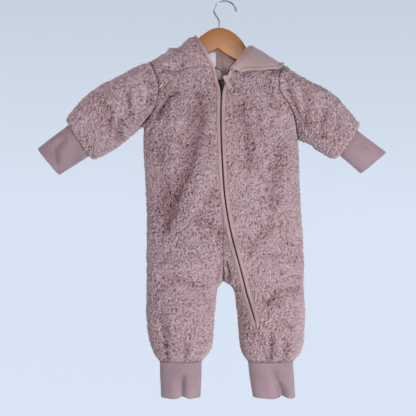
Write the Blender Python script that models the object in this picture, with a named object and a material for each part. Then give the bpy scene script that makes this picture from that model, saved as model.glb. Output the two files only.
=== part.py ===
"""Child's hooded onesie in curly pile cloth, hanging on a wooden hanger.

Units are metres; the tables are in millimetres and scaled at the end.
Origin: inside top of the hanger's hook. +Z up, +X to the viewer's right,
the front of the garment faces -Y. "right" and "left" are the wearer's.
"""
import math

import bpy
import numpy as np

# ---------------------------------------------------------------- dimensions
MM = 0.001
PILE = 4.0            # curly pile cloth, backing and pile together
LINING = 1.2          # smooth jersey
CUFF = 2.2            # jersey folded double
PLY = 0.3             # air between two plies and at every seam
HALF = PLY / 2
LINED = 0.6           # air between the pile cloth and its lining
HOOD = PILE + LINED + LINING
CENTRE = -3.0         # plane of the centre-front and centre-back seams
POWER = 0.82          # 1 = elliptical sections, smaller = boxier
RIDGE_R = 26.0        # rounding of the cloth over the hanger
BIND = 4.2            # width of the edge binding
ZIP_TOP, ZIP_END = -131.0, -513.0
GORE_TIP = -341.0
LEG_END = -573.0
HANGER_T = 12.0
COIL = 0.7            # half width of the zip's coil where it shows between the bindings
LEAN = 0.27           # the wire link leans forward by this much per mm of height
LABEL_AIR = 0.8       # air between the label and the stand of the hood
WIRE = 1.3            # radius of the hook's wire
HOOK_R = 17.8         # middle line of the wire
HOOK_TOP = 16.5       # the hook's centre, below the origin
FOLD = 0.9            # radius of a turned-over edge, on its inside
AIR = 2.0             # air between the hanging hood and the back

SIDES = {"right": -1.0, "left": 1.0}

# z, side seam x, inner edge x, wrap front, wrap back, y middle, front, back, armhole y
BODY = {
    "right": [
        (-40, -118, -3, 0, 0, 0, 24, 21, 20), (-97, -118, -3, 0, 0, 0, 26, 22, 20),
        (-110, -113, -3, 0, 0, 0, 27, 23, 19), (-125, -107, -3, 0, 0, 0, 29, 25, 21),
        (-140, -104, -3, 0, 0, 0, 31, 27, 22), (-155, -105.5, -3, 0, 0, 0, 33, 28, 22),
        (-170, -110, -3, 0, 0, 0, 34, 29, 20), (-185, -120, -3, 0, 0, 0, 35, 30, 13),
        (-197, -129, -3, 0, 0, 0, 35, 30, 0), (-225, -129.5, -3, 0, 0, 0, 36, 31, 0),
        (-250, -128.8, -3, 0, 0, 0, 37, 32, 0), (-295, -126.7, -3, 0, 0, 0, 38, 33, 0),
        (-343, -124.8, -3, 0, 0, 0, 38, 34, 0), (-380, -124.8, -3, 0, 0, 0, 38, 35, 0),
        (-400, -124.8, -3, 0, 0, 0, 37, 36, 0), (-408, -124.8, -3, 0.40, 0.05, 0, 36.5, 36, 0),
        (-414, -124.8, -3, 0.75, 0.15, 1, 36, 36, 0), (-420, -124.8, -3, 0.92, 0.30, 1, 36, 36, 0),
        (-430, -124.8, -3, 0.985, 0.68, 2, 35, 36, 0), (-446, -124.8, -3, 1, 1, 3, 34, 36, 0),
        (-453, -124.8, -8, 1, 1, 3, 34, 36, 0), (-462, -124.8, -12.5, 1, 1, 3, 33, 35, 0),
        (-497, -124.6, -16.3, 1, 1, 2, 33, 33, 0), (-526, -122.9, -18.5, 1, 1, 1, 32, 31, 0),
        (-545, -119.5, -20, 1, 1, 0, 31, 30, 0), (-558, -114.5, -24, 1, 1, 0, 30, 29, 0),
        (-567, -109.5, -30, 1, 1, 0, 27, 27, 0), (-573, -106, -35, 1, 1, 0, 24.5, 24.5, 0),
    ],
    "left": [
        (-40, 96, -3, 0, 0, 0, 24, 21, 20), (-103, 95, -3, 0, 0, 0, 26, 22, 20),
        (-112, 88, -3, 0, 0, 0, 27, 23, 20), (-125, 84.5, -3, 0, 0, 0, 29, 25, 22),
        (-140, 85, -3, 0, 0, 0, 31, 27, 23), (-152, 90, -3, 0, 0, 0, 33, 28, 23),
        (-166, 100, -3, 0, 0, 0, 34, 29, 21), (-182, 108, -3, 0, 0, 0, 35, 30, 18),
        (-203, 113, -3, 0, 0, 0, 35.5, 30.5, 10), (-222, 115.2, -3, 0, 0, 0, 36, 31, 0),
        (-250, 118, -3, 0, 0, 0, 37, 32, 0), (-295, 119.4, -3, 0, 0, 0, 38, 33, 0),
        (-343, 122, -3, 0, 0, 0, 38, 34, 0), (-380, 124.3, -3, 0, 0, 0, 38, 35, 0),
        (-400, 124.8, -3, 0, 0, 0, 37, 36, 0), (-408, 125, -3, 0.40, 0.05, 0, 36.5, 36, 0),
        (-414, 125.2, -3, 0.75, 0.15, 1, 36, 36, 0), (-420, 125.4, -3, 0.92, 0.30, 1, 36, 36, 0),
        (-430, 125.6, -3, 0.985, 0.68, 2, 35, 36, 0), (-446, 126, -3, 1, 1, 3, 34, 36, 0),
        (-453, 126, 8, 1, 1, 3, 34, 36, 0), (-462, 126.2, 15.5, 1, 1, 3, 33, 35, 0),
        (-497, 127, 19.7, 1, 1, 2, 33, 33, 0), (-526, 126.6, 21.8, 1, 1, 1, 32, 31, 0),
        (-545, 125, 23, 1, 1, 0, 31, 30, 0), (-558, 121.5, 26, 1, 1, 0, 30, 29, 0),
        (-567, 115.5, 31, 1, 1, 0, 27, 27, 0), (-573, 110.5, 35, 1, 1, 0, 24.5, 24.5, 0),
    ],
}

# z, middle of the zip x, and half the open gap between its two bindings
ZIP = [
    (-40, -3.6, 3.0), (-118, -3.9, 3.0), (-131, -4.4, 3.0), (-142, -5.4, 2.6), (-155, -6.2, 1.2),
    (-192, -7.1, 1.1), (-230, -6.2, 1.1), (-268, -4.3, 1.1), (-296, -2.5, 1.1), (-324, 0.5, 1.1),
    (-356, 6.1, 1.1), (-381, 11.7, 1.1), (-407, 18.7, 1.1), (-441, 27.7, 1.1), (-464, 33.4, 1.1),
    (-485, 40.0, 1.1), (-505, 45.6, 1.1), (-513, 47.4, 1.0), (-548, 58.8, 1.0), (-573, 66.5, 1.0),
]

# share of the way from armhole to neck edge, height of the neck seam
NECK = {
    "right": [(0, -103), (0.08, -108.5), (0.22, -114.5), (0.36, -116.5), (0.52, -113),
              (0.70, -109.5), (1, -108.5)],
    "left": [(0, -112), (0.08, -113), (0.25, -112.5), (0.6, -113), (1, -116)],
}
NAPE = {
    "right": [(0, -117), (0.1, -114), (0.3, -109), (1, -108)],
    "left": [(0, -123), (0.1, -118.5), (0.35, -111), (1, -108)],
}
# ridge where the cloth lies over the hanger: x at the neck end, z there, slope, x at the armhole
RIDGE = {"right": (-50.0, -56.0, 0.585, -117.7), "left": (42.0, -80.1, 0.500, 94.7)}
CRUSH = 0.6           # thickness of the cloth where it carries the weight on the hanger

# hood hanging behind: share from armhole to centre, drop below the nape seam, radius
BAG = [(0, 10, 4.0), (0.08, 20, 4.8), (0.18, 42, 6.4), (0.32, 68, 8.5), (0.5, 90, 10.5),
       (0.7, 104, 12.5), (1, 109, 14.0)]
# height the hood stands up above the nape seam: share as above, height
STAND = {"right": [(0, 2), (0.3, 3), (0.5, 6), (0.6, 20), (0.7, 36), (1, 42)],
         "left": [(0, 2), (0.3, 3), (0.5, 4), (0.6, 9), (0.7, 17), (0.8, 29), (1, 42)]}

# sleeve rings: top x, top z, bottom x, bottom z, half depth, the first lies on the armhole
SLEEVE = {
    "right": [(-118, -97, -129, -197, 23), (-133, -103, -138, -205, 27), (-150, -110.5, -151, -215.5, 29),
              (-174, -122.6, -173, -232, 30), (-203, -137.5, -194, -245.5, 29),
              (-229, -158, -205, -250, 27), (-246, -178, -210.5, -251.5, 25),
              (-252.5, -189, -213.5, -250.5, 22), (-250.5, -194, -215, -247.5, 19)],
    "left": [(95, -103, 115.2, -222, 23), (111, -113.5, 123, -224, 27), (130, -125, 136, -229, 29),
             (154, -137, 148, -237, 30), (176, -152, 158, -244, 29), (193, -171.5, 167, -248.5, 27),
             (206, -187, 174, -250.5, 25), (213.5, -198.5, 179.5, -249, 22),
             (212, -204, 182.5, -246, 19)],
}
# cuffs: top x, top z, bottom x, bottom z, half depth
WRIST = {
    "right": [(-249.3, -197.0, -217.0, -246.6, 17.6), (-266, -209.5, -232.5, -256.5, 17.2),
              (-298.2, -234.4, -263.8, -276.5, 16)],
    "left": [(211.0, -206.0, 184.6, -246.6, 17.6), (226, -217.5, 196, -256, 17.2),
             (256.6, -240.3, 216.8, -273.9, 16)],
}
# ankle cuffs: z, outer x, inner x, half depth
ANKLE = {
    "right": [(-573.4, -104.0, -37.0, 22.6), (-600, -103.6, -37.4, 22), (-630, -102.4, -38.8, 20)],
    "left": [(-573.4, 108.6, 36.8, 22.6), (-600, 110.4, 39.5, 22), (-630, 112.6, 44.6, 20)],
}
# jersey tongue behind the zip's top: z, left x, right x, depth under the cloth's face
GUARD = [(-152, -15, -4.6, 5.75), (-140, -17, -5.0, 5.75), (-127.2, -21, -5.4, 5.75), (-123, -22.5, -5.8, 4.5),
         (-117, -23.5, -6.6, 4.5), (-113.5, -23, -8.6, 4.5), (-111, -20.5, -12.5, 4.5)]
GUARD_THICK = 1.0
# hanger: x, top z, bottom z
HANGER = [
    (-197, -150.5, -162), (-192, -145.5, -166), (-175, -134.5, -160), (-150, -121, -147.5),
    (-118, -103.6, -131.5), (-80, -80.2, -110), (-50, -62.2, -93.5), (-44, -60.4, -90.5),
    (-40.5, -57.4, -89.5), (-37, -54.5, -88), (-27, -47.5, -82.8), (-20, -44.0, -79.8),
    (-11.8, -42.4, -75.3), (-3, -42.8, -82), (8, -46.8, -88.9), (18, -53.5, -94), (24.5, -60, -97),
    (30, -67.3, -98.5), (34, -74.5, -99.5), (37.5, -83.8, -100.8), (42, -86.7, -102.5),
    (60, -95.7, -113), (95, -114.0, -134),
    (130, -131.5, -155), (155, -145.0, -166),
    (168, -156.0, -171), (173, -162.5, -170),
]

DENSE = 72


# ---------------------------------------------------------------- small maths
def smooth_table(rows, x):
    """Monotone cubic through a table; the first column is the variable."""
    table = np.array(sorted(rows), float)
    xs, ys = table[:, 0], table[:, 1:]
    x = np.clip(np.asarray(x, float), xs[0], xs[-1])
    h = np.diff(xs)
    slope = np.diff(ys, axis=0) / h[:, None]
    m = np.zeros_like(ys)
    m[0], m[-1] = slope[0], slope[-1]
    for k in range(1, len(xs) - 1):
        a, b = slope[k - 1], slope[k]
        same = a * b > 0
        w1, w2 = 2 * h[k] + h[k - 1], h[k] + 2 * h[k - 1]
        with np.errstate(divide="ignore", invalid="ignore"):
            mean = (w1 + w2) / (w1 / a + w2 / b)
        m[k] = np.where(same, mean, 0.0)
    k = np.clip(np.searchsorted(xs, x, side="right") - 1, 0, len(xs) - 2)
    t = ((x - xs[k]) / h[k])[..., None]
    hk = h[k][..., None]
    return (ys[k] * (2 * t**3 - 3 * t**2 + 1) + m[k] * hk * (t**3 - 2 * t**2 + t)
            + ys[k + 1] * (-2 * t**3 + 3 * t**2) + m[k + 1] * hk * (t**3 - t**2))


def power(v, p):
    return np.sign(v) * np.abs(v) ** p


def unit(v):
    return v / np.maximum(np.linalg.norm(v, axis=-1, keepdims=True), 1e-12)


def resample(points, n):
    """n points evenly along a polyline."""
    step = np.linalg.norm(np.diff(points, axis=0), axis=1)
    s = np.concatenate([[0], np.cumsum(step)])
    return np.stack([np.interp(np.linspace(0, s[-1], n), s, points[:, k]) for k in range(3)], 1)


# ---------------------------------------------------------------- body surface
def ridge_z(half, x):
    x0, z0, slope, _ = RIDGE[half]
    return z0 - slope * np.maximum(SIDES[half] * (np.asarray(x, float) - x0), 0.0)


def rounding(half, x, z):
    d = np.clip((ridge_z(half, x) - z) / RIDGE_R, 0.0, 1.0)
    return np.sqrt(np.clip(1 - (1 - d) ** 2, 0, 1))


def section(half, face, z):
    """The half body's outline at height z: centre, half width, depth, first and last angle."""
    s = SIDES[half]
    side, inner, wf, wb, mid, front, back, arm = np.moveaxis(smooth_table(BODY[half], z), -1, 0)
    wrap, depth = (wf, front) if face == "front" else (wb, back)
    inner = np.where(inner == CENTRE, CENTRE + s * HALF, inner)
    width = np.abs(side - inner)
    low = (np.maximum(arm, HALF) / depth) ** (1 / POWER)
    first = np.arcsin(np.clip(low, 0, 1))
    a = width * (1 - wrap / 2) / np.cos(first) ** POWER
    centre = side - s * width * (1 - wrap / 2)
    reach = np.clip(s * (centre - inner) / a, 0, 1)
    last = math.pi - np.arccos(np.clip(reach ** (1 / POWER), 0, 1))
    last = np.minimum(last, math.pi - np.arcsin((0.22 / depth) ** (1 / POWER)))
    return centre, a, depth, mid, first, last


def angle_at(half, face, x, z):
    centre, a, _, _, first, last = section(half, face, z)
    c = np.clip(SIDES[half] * (x - centre) / a, -1, 1)
    return np.clip(np.arccos(power(c, 1 / POWER)), first, last)


def body(half, face, c, z, start=None, end=None):
    """Point of the outer surface: c from 0 (side) to 1 (inner edge) by arc length, at height z."""
    c, z = np.broadcast_arrays(np.asarray(c, float), np.asarray(z, float))
    shape = c.shape
    c, z = c.ravel(), z.ravel()
    centre, a, depth, mid, first, last = section(half, face, z)
    if start is not None:
        first = angle_at(half, face, start(z), z)
    if end is not None:
        last = angle_at(half, face, end(z), z)
    phi = first[:, None] + (last - first)[:, None] * np.linspace(0, 1, DENSE)
    x = centre[:, None] + SIDES[half] * a[:, None] * power(np.cos(phi), POWER)
    y = depth[:, None] * np.abs(np.sin(phi)) ** POWER
    ds = np.hypot(np.diff(x, axis=1), np.diff(y, axis=1))
    s = np.concatenate([np.zeros((len(c), 1)), np.cumsum(ds, axis=1)], axis=1)
    target = c * s[:, -1]
    k = np.clip((s <= target[:, None]).sum(axis=1) - 1, 0, DENSE - 2)
    i = np.arange(len(c))
    t = (target - s[i, k]) / np.maximum(s[i, k + 1] - s[i, k], 1e-9)
    px = x[i, k] * (1 - t) + x[i, k + 1] * t
    py = (y[i, k] * (1 - t) + y[i, k + 1] * t) * rounding(half, px, z)
    py = mid + (-py if face == "front" else py)
    return np.stack([px, py, z], -1).reshape(shape + (3,))


def depth_at(half, face, x, z, rounded=True):
    """y of the outer surface at x, z, as a distance from the middle plane."""
    x, z = np.broadcast_arrays(np.asarray(x, float), np.asarray(z, float))
    centre, a, depth, mid, _, _ = section(half, face, z)
    c = np.clip(np.abs(x - centre) / a, 0, 1) ** (1 / POWER)
    y = depth * np.sqrt(np.maximum(1 - c**2, 0)) ** POWER
    if rounded:
        y = y * rounding(half, x, z)
    return mid + (-y if face == "front" else y)


def zip_at(z):
    middle, gap = np.moveaxis(smooth_table(ZIP, z), -1, 0)
    return middle, gap


def zip_slope(z):
    a, _ = zip_at(z + 1.0)
    b, _ = zip_at(z - 1.0)
    return np.hypot(1.0, (a - b) / 2.0)


def closing(z):
    """1 along the zip, 0 below its end, where only a seam goes on."""
    return np.clip((z - (ZIP_END - 6.0)) / 6.0, 0, 1)


def cloth_edge(z, way):
    """x of a cloth edge beside the zip; way -1 is the wearer's right."""
    middle, gap = zip_at(z)
    wide = (gap + BIND + PLY) * zip_slope(z)
    return middle + way * np.where(z < ZIP_END, HALF + (wide - HALF) * closing(z), wide)


NECK_EDGE = {"right": [(-142, -13.0), (-132, -16.0), (-120, -18.6), (-108, -21.6), (-97, -27)],
             "left": [(-142, 1.8), (-134, 3.2), (-126, 6.5), (-116, 11.5), (-105, 17.0)]}


def front_inner(half, z):
    x = cloth_edge(z, SIDES[half])
    if half == "right":
        x = np.minimum(x, CENTRE - HALF)
    return np.where(z > -142, smooth_table(NECK_EDGE[half], z)[..., 0], x)


# ---------------------------------------------------------------- grids of cloth
def panel(half, face, cols, upper, lower, start=None, end=None, neck=None):
    """Grid of a body panel: upper rows fan from the neck seam to the armpit, lower rows are level."""
    armpit = BODY[half][8 if half == "right" else 9][0]
    c = np.linspace(0, 1, cols)
    grid = []
    if neck is not None:
        top = smooth_table(neck, c)[:, 0]
        for t in np.linspace(0, 1, upper, endpoint=False):
            grid.append(body(half, face, c, top + (armpit - top) * t, start, end))
    for z in lower:
        grid.append(body(half, face, c, np.full(cols, float(z)), start, end))
    return np.array(grid)


def levels(start, stop, step):
    n = max(2, int(round(abs(stop - start) / step)) + 1)
    return list(np.linspace(start, stop, n))


def hood(half, cols, rows):
    """Main grid of a hood half: from the front neck seam over the hanger, down the bag behind,
    round its bottom, up, over the stand and down to the back neck seam. Pile face."""
    s = SIDES[half]
    n_front, n_back, n_turn, n_wall, n_fold, n_stand = rows
    c = np.linspace(0, 1, cols)
    base = body(half, "front", c, smooth_table(NECK[half], c)[:, 0],
                end=lambda z: front_inner(half, z))
    nape = body(half, "back", c, smooth_table(NAPE[half], c)[:, 0])
    x_neck, _, _, x_arm = RIDGE[half]
    x_top = x_arm + (x_neck - x_arm) * c
    bag = smooth_table(BAG, c)
    z_bag, radius = nape[:, 2] - bag[:, 0], bag[:, 1]
    stand = smooth_table(STAND[half], c)[:, 0]
    # the bottom edge runs aslant: its turn is round when measured square to that edge
    tall = radius * np.hypot(1.0, np.gradient(z_bag, nape[:, 0]))
    tall = np.minimum(tall, np.maximum((ridge_z(half, x_arm) - z_bag) * 0.45, radius))
    grid, marks = [], {}
    for k in np.linspace(0, 1, n_front, endpoint=False):
        v = 1 - (1 - k) ** 2
        x = base[:, 0] + (x_top - base[:, 0]) * v
        z0 = base[:, 2] + PLY
        z = z0 + (ridge_z(half, x) - z0) * v
        grid.append(np.stack([x, depth_at(half, "front", x, z), z], -1))
    marks["ridge"] = len(grid)
    drop = 42.0                       # from the ridge to the hood's edge at the centre back
    z_end = z_bag + tall
    for k in np.linspace(0, 1, n_back, endpoint=False):
        z_top = ridge_z(half, x_top)
        z = z_top + (z_end - z_top) * (k**2 * (1 - 0.55 * k) / 0.45)
        fall = np.clip((z_top - z) / np.minimum(drop, z_top - z_end), 0, 1)
        x = x_top + (nape[:, 0] - x_top) * fall * (2 - fall)
        d = np.clip((ridge_z(half, x_top) - z) / RIDGE_R, 0, 1)
        r = np.sqrt(1 - (1 - d) ** 2)
        off = np.sin(math.pi / 2 * np.clip(d / 0.5, 0, 1))
        y = depth_at(half, "back", x, z, False) * r + (AIR + 2 * radius) * off
        grid.append(np.stack([x, y, z], -1))
    x = nape[:, 0]
    marks["turn"] = len(grid)

    def behind(z, q):
        return (depth_at(half, "back", x, z, False) + q) * rounding(
            half, x, np.minimum(z, ridge_z(half, x) - 20.0))

    for k in np.linspace(0, 1, n_turn, endpoint=False):
        z = z_bag + tall - tall * np.sin(math.pi * k)
        q = AIR + radius + radius * np.cos(math.pi * k)
        grid.append(np.stack([x, behind(z, q), z], -1))
    marks["wall"] = len(grid)
    z_seam = nape[:, 2] + PLY
    z_fold = z_seam + stand
    for k in np.linspace(0, 1, n_wall, endpoint=False):
        z = z_end + (z_fold - z_end) * k
        grid.append(np.stack([x, behind(z, AIR + (2 * FOLD - AIR) * k), z], -1))
    marks["fold"] = len(grid)
    for k in np.linspace(0, 1, n_fold, endpoint=False):
        z = z_fold + FOLD * np.sin(math.pi * k)
        q = FOLD + FOLD * np.cos(math.pi * k)
        grid.append(np.stack([x, behind(z_fold, q), z], -1))
    for k in np.linspace(0, 1, n_stand):
        z = z_fold + (z_seam - z_fold) * k
        grid.append(np.stack([x, behind(z, 0.0), z], -1))
    grid = np.array(grid)
    # the hood's own edge ends where the bag's back wall is a set way down, at the centre
    edge_z = ridge_z(half, x_neck) - drop
    back = grid[marks["ridge"]:marks["turn"], -1, 2]
    marks["crown"] = marks["ridge"] + int(np.argmin(np.abs(back - edge_z)))
    scale = np.ones(grid.shape[:2])
    scale[marks["ridge"] + 1:] = np.minimum(1.0, radius / (HOOD + 2.2))[None, :]
    lead = np.linspace(0, 1, 4)[:, None]
    at = marks["ridge"] + 1
    scale[at - 2:at + 2] = 1 + (scale[at + 2] - 1) * lead
    crush = 1 - (1 - CRUSH) * np.exp(-((np.arange(len(grid)) - marks["ridge"]) / 1.6) ** 2)
    scale = np.minimum(scale, crush[:, None])
    return grid, scale, marks


def grid_faces(rows, cols, first=0, flip=False):
    i = np.arange((rows - 1) * (cols - 1))
    r, c = i // (cols - 1), i % (cols - 1)
    a = first + r * cols + c
    quads = np.stack([a, a + 1, a + cols + 1, a + cols], 1)
    return quads[:, ::-1] if flip else quads


def vertex_normals(verts, faces):
    v = verts[faces]
    n = np.cross(v[:, 2] - v[:, 0], v[:, 3] - v[:, 1])
    out = np.zeros_like(verts)
    for k in range(4):
        np.add.at(out, faces[:, k], n)
    return unit(out)


def lapel_end(grid, marks):
    """Last row of the turned-out edge: it stops before it would cross the centre plane."""
    free = np.abs(grid[:marks["crown"], -1, 0] - CENTRE) > 8.0
    return int(np.nonzero(free)[0].max())


def lapel(half, grid, marks, cols):
    """The turned-out edge of the hood half: extra columns that fold over at the neck edge."""
    rows, n, _ = grid.shape
    last = lapel_end(grid, marks)
    faces = grid_faces(rows, n, flip=SIDES[half] > 0)
    normals = vertex_normals(grid.reshape(-1, 3), faces).reshape(grid.shape)
    ridge = marks["ridge"]
    out = []
    for j in range(last + 1):
        if j <= ridge:
            f = j / ridge
            ce = 0.90 - 0.83 * min(1.0, f / 0.8) ** 1.1
            re = 0.08 + 0.9 * min(1.0, max(0.0, (0.4 - ce) / 0.33))
            if f > 0.8:
                re += (ridge - re) * (f - 0.8) / 0.2
        else:
            b = (j - ridge) / (last - ridge)
            ce, re = 0.07 + 0.83 * b, float(j)
        rim, nr = grid[j, -1], normals[j, -1]
        out_dir = unit(grid[j, -1] - grid[j, -2])
        row = []
        for alpha in (45, 90, 135):
            a = math.radians(alpha)
            row.append(rim + FOLD * nr + FOLD * (math.sin(a) * out_dir - math.cos(a) * nr))
        for w in np.linspace(0, 1, cols):
            cc, rr = (1 + (ce - 1) * w) * (n - 1), j + (re - j) * w
            c0, r0 = min(int(cc), n - 2), min(int(rr), rows - 2)
            fc, fr = cc - c0, rr - r0
            mix = lambda g: ((g[r0, c0] * (1 - fc) + g[r0, c0 + 1] * fc) * (1 - fr)
                             + (g[r0 + 1, c0] * (1 - fc) + g[r0 + 1, c0 + 1] * fc) * fr)
            lift = 2 * FOLD + 2.6 * min(1, 4 * w) * min(1, (1 - ce) / 0.25)
            row.append(mix(grid) + lift * unit(mix(normals)))
        out.append(row)
    return np.array(out)


def hood_mesh(half, cols, rows, lapel_cols=0):
    """Vertices, quads, thickness scale and the open edge (points and in-cloth direction)."""
    grid, scale, marks = hood(half, cols, rows)
    n_rows, n, _ = grid.shape
    flip = SIDES[half] > 0
    verts = grid.reshape(-1, 3)
    faces = grid_faces(n_rows, n, flip=flip)
    scale = scale.reshape(-1)
    last = marks["crown"]
    if lapel_cols:
        last = lapel_end(grid, marks)
        extra = lapel(half, grid, marks, lapel_cols)
        m = extra.shape[1]
        first = len(verts)
        verts = np.concatenate([verts, extra.reshape(-1, 3)])
        scale = np.concatenate([scale, np.repeat(scale.reshape(n_rows, n)[:last + 1, -1], m)])
        r = np.arange(last)
        join = np.stack([r * n + n - 1, first + r * m, first + (r + 1) * m, (r + 1) * n + n - 1], 1)
        if flip:
            join = join[:, ::-1]
        faces = np.concatenate([faces, join, grid_faces(last + 1, m, first, flip)])
        edge = first + np.arange(last + 1) * m + m - 1
        inside = edge - 1
    else:
        edge = np.arange(last + 1) * n + n - 1
        inside = edge - 1
    return verts, faces, scale, edge, inside, marks


# ---------------------------------------------------------------- solids
def remove_all():
    for ob in list(bpy.data.objects):
        bpy.data.objects.remove(ob, do_unlink=True)


def material(name, color, rough, metal=0.0):
    m = bpy.data.materials.get(name) or bpy.data.materials.new(name)
    m.use_nodes = True
    p = m.node_tree.nodes["Principled BSDF"]
    p.inputs["Base Color"].default_value = (*color, 1)
    p.inputs["Roughness"].default_value = rough
    p.inputs["Metallic"].default_value = metal
    return m


CLOTHS = {
    "pile": ((0.36, 0.27, 0.28), 0.95, 0.0),
    "jersey": ((0.40, 0.31, 0.32), 0.9, 0.0),
    "zip": ((0.12, 0.07, 0.09), 0.7, 0.0),
    "dark metal": ((0.05, 0.045, 0.05), 0.35, 1.0),
    "label": ((0.80, 0.81, 0.84), 0.8, 0.0),
    "wood": ((0.52, 0.25, 0.09), 0.45, 0.0),
    "steel": ((0.55, 0.56, 0.57), 0.3, 1.0),
}


def solid(name, verts, faces, kind):
    mesh = bpy.data.meshes.new(name)
    mesh.from_pydata([tuple(float(c) for c in v) for v in np.asarray(verts) * MM], [],
                     [tuple(int(i) for i in f) for f in faces])
    mesh.update()
    ob = bpy.data.objects.new(name, mesh)
    bpy.context.scene.collection.objects.link(ob)
    color, rough, metal = CLOTHS[kind]
    mesh.materials.append(material(name, color, rough, metal))
    return ob


def shell(name, verts, faces, near, far, kind, scale=None, normals=None):
    """A cloth: the surface moved inward by near and by far, closed round its edge."""
    faces = np.asarray(faces)
    if normals is None:
        normals = vertex_normals(verts, faces)
    k = np.ones(len(verts)) if scale is None else scale
    top = verts - normals * (near * k)[:, None]
    low = verts - normals * (far * k)[:, None]
    n = len(verts)
    edges = {}
    for f in faces:
        for a, b in zip(f, np.roll(f, -1)):
            edges[(int(a), int(b))] = 1
    rim = [(b, a, a + n, b + n) for (a, b) in edges if (b, a) not in edges]
    halves = np.concatenate([faces[:, [0, 1, 2]], faces[:, [0, 2, 3]]])
    quads = [tuple(f) for f in halves] + [tuple(f[::-1] + n) for f in halves] + rim
    return solid(name, np.concatenate([top, low]), quads, kind)


def piece(name, verts, faces, kind, layers, scale=None):
    return {"name": name, "verts": verts, "faces": np.asarray(faces), "kind": kind,
            "layers": layers, "scale": scale, "normals": vertex_normals(verts, np.asarray(faces))}


def grid_piece(name, grid, half, face, thick, kind="pile"):
    rows, cols, _ = grid.shape
    flip = (SIDES[half] > 0) != (face == "front")
    p = piece(name, grid.reshape(-1, 3), grid_faces(rows, cols, flip=flip), kind,
              [(name, 0.0, thick, kind)])
    p["cols"] = cols
    return p


def tube_piece(name, rings, thick, kind, flip=False):
    """A cloth tube, its wall turned inward."""
    rings = np.asarray(rings)
    rows, n, _ = rings.shape
    faces = []
    for r in range(rows - 1):
        for k in range(n):
            a, b = r * n + k, r * n + (k + 1) % n
            quad = (a, b, b + n, a + n)
            faces.append(quad[::-1] if flip else quad)
    p = piece(name, rings.reshape(-1, 3), np.array(faces), kind, [(name, 0.0, thick, kind)])
    p["ring"] = np.repeat(np.arange(rows), n)
    return p


def open_edge(faces):
    pairs = {(int(a), int(b)) for f in faces for a, b in zip(f, np.roll(f, -1))}
    return sorted({v for a, b in pairs if (b, a) not in pairs for v in (a, b)})


def share_normals(pieces, reach=1.3):
    """Give the plies that meet at a seam one common direction there, so that their edges stay
    parallel, and keep the seams in the centre plane inside that plane."""
    owner, index = [], []
    for k, p in enumerate(pieces):
        for v in open_edge(p["faces"]):
            owner.append(k)
            index.append(v)
    pos = np.array([pieces[k]["verts"][v] for k, v in zip(owner, index)])
    nor = np.array([pieces[k]["normals"][v] for k, v in zip(owner, index)])
    near = np.linalg.norm(pos[:, None] - pos[None], axis=-1) < reach
    near &= nor @ nor.T > -0.4
    mean = unit(near.astype(float) @ nor)
    flat = (np.abs(pos[:, 0] - CENTRE) < 0.3) & (np.abs(mean[:, 0]) < 0.6)
    mean[flat, 0] = 0.0
    mean = unit(mean)
    for k, v, n in zip(owner, index, mean):
        pieces[k]["normals"][v] = n
    for p in pieces:                      # the cut ends of legs and sleeves are square
        if "end" in p:
            rows, axis = p["end"]
            n = p["normals"][rows]
            p["normals"][rows] = unit(n - (n @ axis)[:, None] * axis)


def signed_volume(verts, faces):
    total = 0.0
    for f in faces:
        for k in range(1, len(f) - 1):
            total += np.dot(verts[f[0]], np.cross(verts[f[k]], verts[f[k + 1]]))
    return total / 6


def outward(verts, faces):
    return [f[::-1] for f in faces] if signed_volume(verts, faces) < 0 else faces


def loft(name, rings, kind):
    """Closed body through a row of rings, capped at both ends."""
    rows, n, _ = rings.shape
    faces = []
    for r in range(rows - 1):
        for k in range(n):
            a, b = r * n + k, r * n + (k + 1) % n
            faces.append((a, b, b + n, a + n))
    faces.append(tuple(range(n))[::-1])
    faces.append(tuple(range((rows - 1) * n, rows * n)))
    verts = rings.reshape(-1, 3)
    return solid(name, verts, outward(verts, faces), kind)


def sweep(name, path, side, normal, profile, kind):
    """A bar along a path: profile is a loop of (along side, along normal) in order."""
    profile = np.asarray(profile, float)
    if profile.ndim == 2:
        profile = np.repeat(profile[None], len(path), 0)
    rings = path[:, None] + side[:, None] * profile[..., :1] + normal[:, None] * profile[..., 1:]
    return loft(name, rings, kind)


def round_bar(width, low, high, r=1.0):
    """Rectangle with cut corners from 0 to width across, low to high along the normal."""
    r = min(r, width / 2.2, (high - low) / 2.2)
    pts = []
    for cx, cy, a0 in ((width - r, high - r, 0), (r, high - r, 90), (r, low + r, 180),
                       (width - r, low + r, 270)):
        for a in (0, 90):
            t = math.radians(a0 + a)
            pts.append((cx + r * math.cos(t), cy + r * math.sin(t)))
    return pts


# ---------------------------------------------------------------- the garment
def armhole_loop(half, front, back, hood_edge):
    """Points round the armhole: armpit, front edge up, over the shoulder, back edge down."""
    armpit = 0.5 * (front[-1] + back[-1])
    top = hood_edge[-1]
    z = top[2] + (back[0, 2] - top[2]) * np.array([0.12, 0.4, 0.75])
    x = top[0] + (back[0, 0] - top[0]) * np.array([0.2, 0.5, 0.85])
    down = np.stack([x, depth_at(half, "back", x, z), z], -1)
    return np.concatenate([[armpit], front[::-1][1:], hood_edge, down, back[:-1]])


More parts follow.
